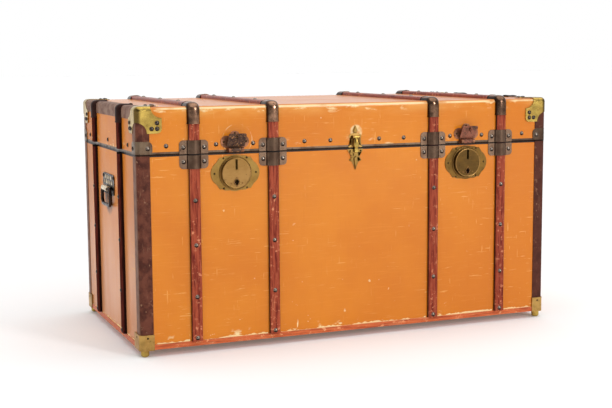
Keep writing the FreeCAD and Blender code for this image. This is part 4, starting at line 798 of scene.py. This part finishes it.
class TRUNK_OT_brass(bpy.types.Operator):
    """Finish the brass corners, locks and catch."""

    bl_idname = "trunk.brass"
    bl_label = "Brass"

    def execute(self, context):
        colours = context.scene.trunk_colours
        old = (colours.tarnish, colours.tarnish_dark)
        polished = metal_finish(
            "polished_brass", colours.brass_bright, *old, 0.13, 0.28, amount=0.55, spotted=0.12, dents=34.0,
            corner=colours.tarnish_dark)
        give(polished, "lid_corner_caps", "catch_lever", "foot_studs")
        aged = metal_finish("aged_brass", colours.brass, *old, 0.28, 0.5, amount=0.6)
        give(aged, "bottom_corner_caps", "catch_plate")
        dirt_and_shade = (colours.tarnish, colours.soot_and_shade)
        weathered = metal_finish("weathered_brass", colours.weathered, *dirt_and_shade, 0.28, 0.5)
        give(weathered, "catch_keeper", "lock_plate_left")
        tarnished = metal_finish("tarnished_brass", *old, colours.soot_and_shade, 0.28, 0.5, amount=0.45)
        give(tarnished, "lock_plate_right")
        dark = metal_finish("dark_pins", colours.tarnish_dark, colours.soot_and_shade, colours.soot_and_shade, 0.2, 0.4)
        give(dark, "body_brass_pins", "lid_brass_pins")
        brushing = {"streak": (0.5, 1, 6), "amount": 0.4}
        # Middles of the painted shade around the keyholes
        left, right = [(x, DRUM_FACE, SEAM - KEYHOLE_SHADE_DROP) for x in LOCKS]
        brushed = metal_finish("brushed_brass", colours.drum, *dirt_and_shade, 0.34, 0.5, stain=left, **brushing)
        give(brushed, "lock_drum_left")
        dull = metal_finish("dull_brass", colours.drum_dull, *dirt_and_shade, 0.36, 0.55, stain=right, **brushing)
        give(dull, "lock_drum_right")
        return {"FINISHED"}


class TRUNK_OT_hasps(bpy.types.Operator):
    """Finish the hasp plates and the folded hasps."""

    bl_idname = "trunk.hasps"
    bl_label = "Hasps"

    def execute(self, context):
        colours = context.scene.trunk_colours
        brown = (colours.steel_brown, colours.copper_dark)
        plate = metal_finish("hasp_plate", colours.copper, *brown, 0.34, 0.6)
        give(plate, "hasp_plate_left", "hasp_plate_right")
        leaf = speckled_finish("hasp_leaf", colours.steel_brown, colours.ochre, colours.copper_dark)
        give(leaf, "hasp_left")
        rusty = speckled_finish("rusty_hasp_leaf", colours.copper_red, *reversed(brown))
        give(rusty, "hasp_right")
        return {"FINISHED"}


class TRUNK_OT_steel(bpy.types.Operator):
    """Finish the steel clamps, clips, band, handles, hinges, nails, rivets, pins and bolts."""

    bl_idname = "trunk.steel"
    bl_label = "Steel"

    def execute(self, context):
        colours = context.scene.trunk_colours
        browned = (colours.steel_brown, colours.bronze_dark)
        upright = {"streak": (5, 5, 0.6)}
        steel = metal_finish("browned_steel", colours.steel, *browned, 0.26, 0.5, **upright)
        give(steel, "body_hinge_leaves", "lid_hinge_leaves")
        # The rim band and clips get a painted shadow line at the foot and painted shade to the right
        worn = metal_finish(
            "worn_steel", colours.clip, *browned, 0.26, 0.5, amount=0.8, seam=colours.soot_and_shade, **upright)
        give(worn, "lid_corner_clips", "lid_rim_band")
        # The clamps' folds get painted shade
        pressed = metal_finish(
            "pressed_steel", colours.steel, *browned, 0.2, 0.42, crease=colours.soot_and_shade, **upright)
        give(pressed, "body_slat_clamps", "lid_slat_clamps")
        dark = (colours.bronze_dark, colours.soot_and_shade)
        bail = metal_finish("blackened_steel", *dark, colours.bronze, 0.14, 0.34)
        give(bail, "handle_bail_left", "handle_bail_right")
        give(handle_finish(colours), "handle_plate_left", "handle_plate_right")
        give(head_finish("nail_heads", colours, NAIL_ROWS), "body_nails", "lid_nails")
        rivets = head_finish("rivet_heads", colours, RIVET_ROWS, dirty_from=DIRTY_RIVETS_FROM)
        give(rivets, "body_rivets", "lid_rivets")
        plain = metal_finish("plain_steel", colours.nail, colours.nail_dark, colours.soot_and_shade, 0.18, 0.4)
        give(plain, "pivot_pins", "lock_bolt_left", "lock_bolt_right")
        return {"FINISHED"}


class TRUNK_OT_lining(bpy.types.Operator):
    """Finish the linings of the case and of the lid."""

    bl_idname = "trunk.lining"
    bl_label = "Lining"

    def execute(self, context):
        colours = context.scene.trunk_colours
        paper = lining_finish("lining_paper", colours.lining, colours.lining_spot)
        give(paper, "body_lining", "lid_lining")
        return {"FINISHED"}


class TRUNK_OT_torn_hem(bpy.types.Operator):
    """Add the torn paper hem of the covering above the base rails."""

    bl_idname = "trunk.torn_hem"
    bl_label = "Torn hem"

    def execute(self, context):
        details = context.scene.trunk_details
        colours = context.scene.trunk_colours
        finish = lining_finish("torn_paper", colours.chip_and_highlight, colours.scratch_and_sheen)
        draw = random.Random(11)
        gap = HEM_SLAT_GAP
        long_face = (SLATS, END - HEM_FRONT_GAP)
        end_face = (END_SLATS, -FRONT - HEM_END_GAP)
        mesh = bmesh.new()
        for face, (slats, half) in zip(FACE_TURNS, (long_face, long_face, end_face, end_face)):
            stops = [-half - gap, *slats, half + gap]
            for start, end in zip(stops, stops[1:]):
                self.strip(mesh, face, start + gap, end - gap, details, draw)
        piece("torn_hem", mesh, "body", finish)
        return {"FINISHED"}

    def strip(self, mesh, face, start, end, details, draw):
        """One bay's strip: a row of quads whose upper edge is torn."""
        steps = max(8, round((end - start) / HEM_STEP))
        made = bmesh.ops.create_grid(mesh, x_segments=steps, y_segments=1, size=0.5)
        verts = made["verts"]
        height = details.hem_low
        for vert in sorted(verts, key=lambda item: (item.co.y, item.co.x)):
            vert.co.x = start + (vert.co.x + 0.5) * (end - start)
            if vert.co.y > 0:
                swing = draw.uniform(-0.5, 0.5) * details.hem_high
                height = min(max(height + swing, details.hem_low), details.hem_high)
                vert.co.y = height
            else:
                vert.co.y = 0
        faces = list({item for vert in verts for item in vert.link_faces})
        raised = bmesh.ops.extrude_face_region(mesh, geom=faces)["geom"]
        top = [item for item in raised if isinstance(item, bmesh.types.BMVert)]
        bmesh.ops.translate(mesh, vec=(0, 0, details.hem_sheet), verts=top)
        moved(mesh, verts + top, seat(face, 0, RAIL_TOP))


class TRUNK_OT_lock_rims(bpy.types.Operator):
    """Add the rolled rims and the turned steps of the lock drums."""

    bl_idname = "trunk.lock_rims"
    bl_label = "Lock rims"

    def execute(self, context):
        details = context.scene.trunk_details
        colours = context.scene.trunk_colours
        finish = metal_finish(
            "rubbed_brass", colours.drum, colours.tarnish, colours.tarnish_dark, 0.2, 0.4, amount=0.5)
        for x, name in zip(LOCKS, LOCK_NAMES):
            low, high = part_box(f"lock_drum_{name}")
            radius = (high.x - low.x) / 2
            frame_at = seat("front", x, (low.z + high.z) / 2)
            mesh = bmesh.new()
            self.bead(mesh, frame_at, radius, details.rim_width, FRONT - low.y, details.rim_rise)
            self.bead(mesh, frame_at, radius + STEP_REACH, STEP_WIDTH, STEP_FOOT, STEP_RISE)
            piece(f"lock_rim_{name}", mesh, "body", finish)
        return {"FINISHED"}

    def bead(self, mesh, frame_at, radius, width, foot, rise):
        """A half-round bead lying on a flat face."""
        turns = [math.pi * step / 6 for step in range(7)]
        middle = radius - width / 2
        profile = [(middle + width / 2 * math.cos(turn), foot + rise * math.sin(turn)) for turn in turns]
        sunk = foot - BEAD_SINK
        profile += [(middle - width / 2, sunk), (middle + width / 2, sunk)]
        ring(mesh, frame_at, profile)


class TRUNK_OT_key_plates(bpy.types.Operator):
    """Add the diamond plates around the keyholes, with their small rivets."""

    bl_idname = "trunk.key_plates"
    bl_label = "Key plates"

    def execute(self, context):
        details = context.scene.trunk_details
        colours = context.scene.trunk_colours
        dark = metal_finish("key_plate", colours.tarnish, colours.copper, colours.tarnish_dark, 0.3, 0.5)
        diamond = ((0, 1), (-1, 0), (0, -1), (1, 0))
        corners = [Vector((x * details.key_half, y * details.key_height, 0)) for x, y in diamond]
        for x, name in zip(LOCKS, LOCK_NAMES):
            low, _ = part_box(f"lock_drum_{name}")
            out = FRONT - low.y
            frame_at = seat("front", x, SEAM - KEY_PLATE_DROP, out)
            mesh = bmesh.new()
            for start, end in zip(corners, corners[1:] + corners[:1]):
                self.bead(mesh, frame_at, start, end)
            for way in SIDES:
                dome(mesh, frame_at, KEY_RIVET_RADIUS, KEY_RIVET_RISE, way * KEY_RIVET_REACH, KEY_RIVET_UP)
            piece(f"key_plate_{name}", mesh, "body", dark)
        return {"FINISHED"}

    def bead(self, mesh, frame_at, start, end):
        """One side of the diamond."""
        run = end - start
        turn = Matrix.Rotation(math.atan2(run.y, run.x), 4, "Z")
        local = frame_at @ Matrix.Translation((start + end) / 2) @ turn
        size = (run.length + KEY_BEAD_LAP, KEY_BEAD_WIDTH, KEY_BEAD_HEIGHT)
        bar(mesh, local, size, (0, 0, KEY_BEAD_LIFT), KEY_BEAD_EDGE, 2)


class TRUNK_OT_elbow_shells(bpy.types.Operator):
    """Add the domed caps, with rolled rims, that hold the slats' ends over the lid's edges."""

    bl_idname = "trunk.elbow_shells"
    bl_label = "Elbow shells"

    def execute(self, context):
        details = context.scene.trunk_details
        colours = context.scene.trunk_colours
        soot_and_shade = colours.soot_and_shade
        # The caps get painted shade on their flanks and towards the right
        bronze = metal_finish(
            "bronzed_steel_caps", colours.bronze, colours.bronze_dark, soot_and_shade, 0.1, 0.26, amount=0.75,
            dents=14.0, sides=soot_and_shade)
        shaded = metal_finish("shaded_bronze", colours.copper_dark, soot_and_shade, soot_and_shade, 0.3, 0.5, metallic=0.0)
        long_faces = bmesh.new()
        for face in ("front", "back"):
            for x in SLATS:
                self.shell(long_faces, seat(face, x, LID_TOP), details, ELBOW_RUN, details.elbow_top)
        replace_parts(piece("elbow_shells", long_faces, "lid", bronze), "slat_elbow_caps")
        ends = bmesh.new()
        for face in ("left", "right"):
            for y in END_SLATS:
                self.shell(ends, seat(face, y, LID_TOP), details, END_RUN, details.end_crown)
        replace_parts(piece("end_elbow_shells", ends, "lid", shaded), "end_elbow_caps")
        return {"FINISHED"}

    def shell(self, mesh, frame_at, details, run, top_crown):
        """A domed section carried up the face, round the lid's edge and back over the top."""
        stations = self.stations(details, run, top_crown)
        around = 28
        columns = around + 1
        rows = len(stations) - 1
        made = bmesh.ops.create_grid(mesh, x_segments=columns, y_segments=rows, size=0.5)
        verts = made["verts"]
        for vert in verts:
            step = round((vert.co.x + 0.5) * columns) % columns
            up, out, turn, crown, grow = stations[round((vert.co.y + 0.5) * rows)]
            angle = math.pi * step / around
            across, rise = self.section(angle, details.elbow_half + grow, crown + grow)
            vert.co = (across, up + rise * math.sin(turn), out + rise * math.cos(turn))
        bmesh.ops.remove_doubles(mesh, verts=verts, dist=1e-6)
        bmesh.ops.holes_fill(mesh, edges=[edge for edge in mesh.edges if edge.is_boundary], sides=0)
        moved(mesh, [vert for vert in verts if vert.is_valid], frame_at)

    def section(self, angle, half, crown):
        """A point on the domed section: squarer than an ellipse."""
        power = 2 / SECTION_SQUARENESS
        across = math.copysign(abs(math.cos(angle)) ** power, math.cos(angle))
        return half * across, crown * max(math.sin(angle), 0.0) ** power

    def stations(self, details, run, top_crown):
        """Places along the cap: up, out, turn, height of the crown and growth of the rolled rim."""
        crown = details.elbow_crown
        bend = EDGE_ROUND
        rim = details.elbow_rim
        places = [(-ELBOW_DROP + rim * share, 0.0, 0.0, crown, grow) for share, grow in RIM_ROLL]
        places.append((-(ELBOW_DROP + bend) / 2, 0.0, 0.0, crown, 0.0))
        steps = 12
        for step in range(steps + 1):
            turn = math.pi / 2 * step / steps
            ease = (1 - math.cos(math.pi * step / steps)) / 2
            height = crown + (top_crown - crown) * ease
            places.append((bend * math.sin(turn) - bend, bend * math.cos(turn) - bend, turn, height, 0.0))
        back = [
            (0.0, -run + rim * share, math.pi / 2, top_crown, grow) for share, grow in reversed(RIM_ROLL)]
        return places + [(0.0, -(run + bend) / 2, math.pi / 2, top_crown, 0.0)] + back


class TRUNK_OT_catch_leaves(bpy.types.Operator):
    """Add the raised leaves on the catch's plate and keeper."""

    bl_idname = "trunk.catch_leaves"
    bl_label = "Catch leaves"

    def execute(self, context):
        colours = context.scene.trunk_colours
        tarnish = (colours.tarnish, colours.tarnish_dark)
        finish = metal_finish("catch_leaf", colours.weathered, *tarnish, 0.24, 0.45)
        tip = bmesh.new()
        upper = seat("front", 0, LID_FOOT)
        self.leaf(tip, upper, PLATE_TIP, rise=0.001, edge=0.0012)
        for way in SIDES:
            self.leaf(tip, upper, PLATE_FLANK, rise=0.0008, edge=0.0009, way=way)
        piece("catch_tip_leaf", tip, "lid", finish)
        keeper = bmesh.new()
        lower = seat("front", 0, SEAM)
        for way in SIDES:
            self.leaf(keeper, lower, KEEPER_SHOULDER, rise=0.0008, edge=0.0008, way=way)
            self.leaf(keeper, lower, KEEPER_BARB, rise=0.0008, edge=0.0009, way=way)
        self.leaf(keeper, lower, KEEPER_TIP, rise=0.0014, edge=0.0014)
        piece("keeper_leaves", keeper, "body", finish)
        return {"FINISHED"}

    def leaf(self, mesh, frame_at, outline, rise, edge, way=1):
        """One leaf on the catch's sheet; way -1 mirrors its outline."""
        drawn = [(way * across, up) for across, up in outline]
        facet(mesh, frame_at, drawn, CATCH_SHEET, CATCH_SHEET + rise, edge)


class TRUNK_OT_handle_ribs(bpy.types.Operator):
    """Add the pressed ribs on the upper half of the handle plates."""

    bl_idname = "trunk.handle_ribs"
    bl_label = "Handle ribs"

    def execute(self, context):
        size = (2 * context.scene.trunk_details.rib_radius, RIB_LENGTH, RIB_HEIGHT)
        colours = context.scene.trunk_colours
        dull = (colours.steel, colours.bronze_dark)
        finish = metal_finish("handle_rib", colours.plate_bright, *dull, 0.24, 0.44)
        for face in ("left", "right"):
            mesh = bmesh.new()
            frame_at = seat(face, 0, HANDLE_HEIGHT, HANDLE_SHEET)
            for row, steps in RIB_ROWS.items():
                for step in steps:
                    bar(mesh, frame_at, size, (step * RIB_PITCH, row, 0), RIB_EDGE)
            piece(f"handle_ribs_{face}", mesh, "body", finish)
        return {"FINISHED"}


class TRUNK_OT_stage(bpy.types.Operator):
    """Set up the floor, the lights and the camera."""

    bl_idname = "trunk.stage"
    bl_label = "Studio"

    def execute(self, context):
        studio = context.scene.trunk_studio
        self.floor(context.scene.trunk_colours.floor)
        world = bpy.data.worlds.new("white_surround")
        world.use_nodes = True
        self.surround(world.node_tree, studio)
        context.scene.world = world
        self.light("key_light", studio.key_power, KEY_SIZE, KEY_PLACE)
        self.light("fill_light", studio.fill_power, FILL_SIZE, FILL_PLACE)
        self.sky_light(studio.top_power)
        self.camera(studio.lens)
        context.scene.view_settings.view_transform = "Standard"
        return {"FINISHED"}

    def surround(self, tree, studio):
        """White to the camera; as light, bright behind the trunk and dim on the camera's side."""
        ground = tree.nodes["Background"]
        ground.inputs["Color"].default_value = (1, 1, 1, 1)
        place = tree.nodes.new("ShaderNodeTexCoord")
        split = tree.nodes.new("ShaderNodeSeparateXYZ")
        fade = tree.nodes.new("ShaderNodeMapRange")
        fade.interpolation_type = "SMOOTHSTEP"
        dim_until, bright_from = SURROUND_FADE
        settings = {"From Min": dim_until, "From Max": bright_from}
        settings.update({"To Min": studio.surround_dim, "To Max": studio.surround})
        for key, value in settings.items():
            fade.inputs[key].default_value = value
        path = tree.nodes.new("ShaderNodeLightPath")
        choice = tree.nodes.new("ShaderNodeMix")
        choice.inputs[3].default_value = 1.0
        tree.links.new(place.outputs["Generated"], split.inputs[0])
        tree.links.new(split.outputs["Y"], fade.inputs["Value"])
        tree.links.new(path.outputs["Is Camera Ray"], choice.inputs[0])
        tree.links.new(fade.outputs["Result"], choice.inputs[2])
        tree.links.new(choice.outputs[0], ground.inputs["Strength"])

    def floor(self, tone):
        mesh = bmesh.new()
        bmesh.ops.create_grid(mesh, x_segments=2, y_segments=2, size=FLOOR_HALF)
        data = bpy.data.meshes.new("studio_floor")
        mesh.to_mesh(data)
        mesh.free()
        finish = Finish("studio_floor", specular=0.0)
        finish.shader.inputs["Emission Color"].default_value = (1, 1, 1, 1)
        finish.shader.inputs["Emission Strength"].default_value = FLOOR_GLOW
        data.materials.append(finish.paint(tuple(tone), 0.85))
        item = bpy.data.objects.new("studio_floor", data)
        bpy.context.scene.collection.objects.link(item)

    def light(self, name, power, size, place):
        lamp = bpy.data.lights.new(name, "AREA")
        lamp.energy = power
        lamp.shape = "RECTANGLE"
        lamp.size, lamp.size_y = size
        item = bpy.data.objects.new(name, lamp)
        item.location = place
        aim = Vector(LIGHT_AIM) - Vector(place)
        item.rotation_euler = aim.to_track_quat("-Z", "Y").to_euler()
        bpy.context.scene.collection.objects.link(item)

    def sky_light(self, strength):
        lamp = bpy.data.lights.new("sky_light", "SUN")
        lamp.energy = strength
        lamp.angle = math.radians(SKY_SPREAD)
        item = bpy.data.objects.new("sky_light", lamp)
        item.rotation_euler = [math.radians(angle) for angle in SKY_TILT]
        bpy.context.scene.collection.objects.link(item)

    def camera(self, lens):
        lens_data = bpy.data.cameras.new("studio_camera")
        lens_data.lens = lens
        lens_data.sensor_width = 36
        item = bpy.data.objects.new("studio_camera", lens_data)
        yaw, pitch, roll = (math.radians(angle) for angle in CAMERA_ANGLES)
        reach = math.cos(pitch)
        forward = Vector((math.sin(yaw) * reach, math.cos(yaw) * reach, -math.sin(pitch)))
        right = Vector((math.cos(yaw), -math.sin(yaw), 0))
        up = right.cross(forward)
        level = math.cos(roll) * right + math.sin(roll) * up
        upright = math.cos(roll) * up - math.sin(roll) * right
        turn = Matrix((level, upright, -forward)).transposed()
        item.matrix_world = Matrix.Translation(CAMERA_PLACE) @ turn.to_4x4()
        bpy.context.scene.collection.objects.link(item)
        bpy.context.scene.camera = item


OPERATORS = (
    TRUNK_OT_covering,
    TRUNK_OT_wood,
    TRUNK_OT_bindings,
    TRUNK_OT_brass,
    TRUNK_OT_hasps,
    TRUNK_OT_steel,
    TRUNK_OT_lining,
    TRUNK_OT_torn_hem,
    TRUNK_OT_lock_rims,
    TRUNK_OT_key_plates,
    TRUNK_OT_elbow_shells,
    TRUNK_OT_catch_leaves,
    TRUNK_OT_handle_ribs,
    TRUNK_OT_stage,
)


class TRUNK_PT_sidebar(bpy.types.Panel):
    """The trunk's finishes and details."""

    bl_idname = "TRUNK_PT_sidebar"
    bl_label = "Travel trunk"
    bl_space_type = "VIEW_3D"
    bl_region_type = "UI"
    bl_category = "Trunk"

    def draw(self, context):
        for operator in OPERATORS:
            self.layout.operator(operator.bl_idname)
        for group in (context.scene.trunk_colours, context.scene.trunk_details, context.scene.trunk_studio):
            for key in group.__annotations__:
                self.layout.prop(group, key)


GROUPS = {"trunk_colours": TrunkColours, "trunk_details": TrunkDetails, "trunk_studio": TrunkStudio}


def register():
    for item in (*GROUPS.values(), *OPERATORS, TRUNK_PT_sidebar):
        bpy.utils.register_class(item)
    for key, group in GROUPS.items():
        setattr(bpy.types.Scene, key, bpy.props.PointerProperty(type=group))


def unregister():
    for key in GROUPS:
        delattr(bpy.types.Scene, key)
    for item in (TRUNK_PT_sidebar, *reversed(OPERATORS), *GROUPS.values()):
        bpy.utils.unregister_class(item)


def main():
    register()
    for operator in OPERATORS:
        family, name = operator.bl_idname.split(".")
        getattr(getattr(bpy.ops, family), name)()


if __name__ == "__main__":
    main()
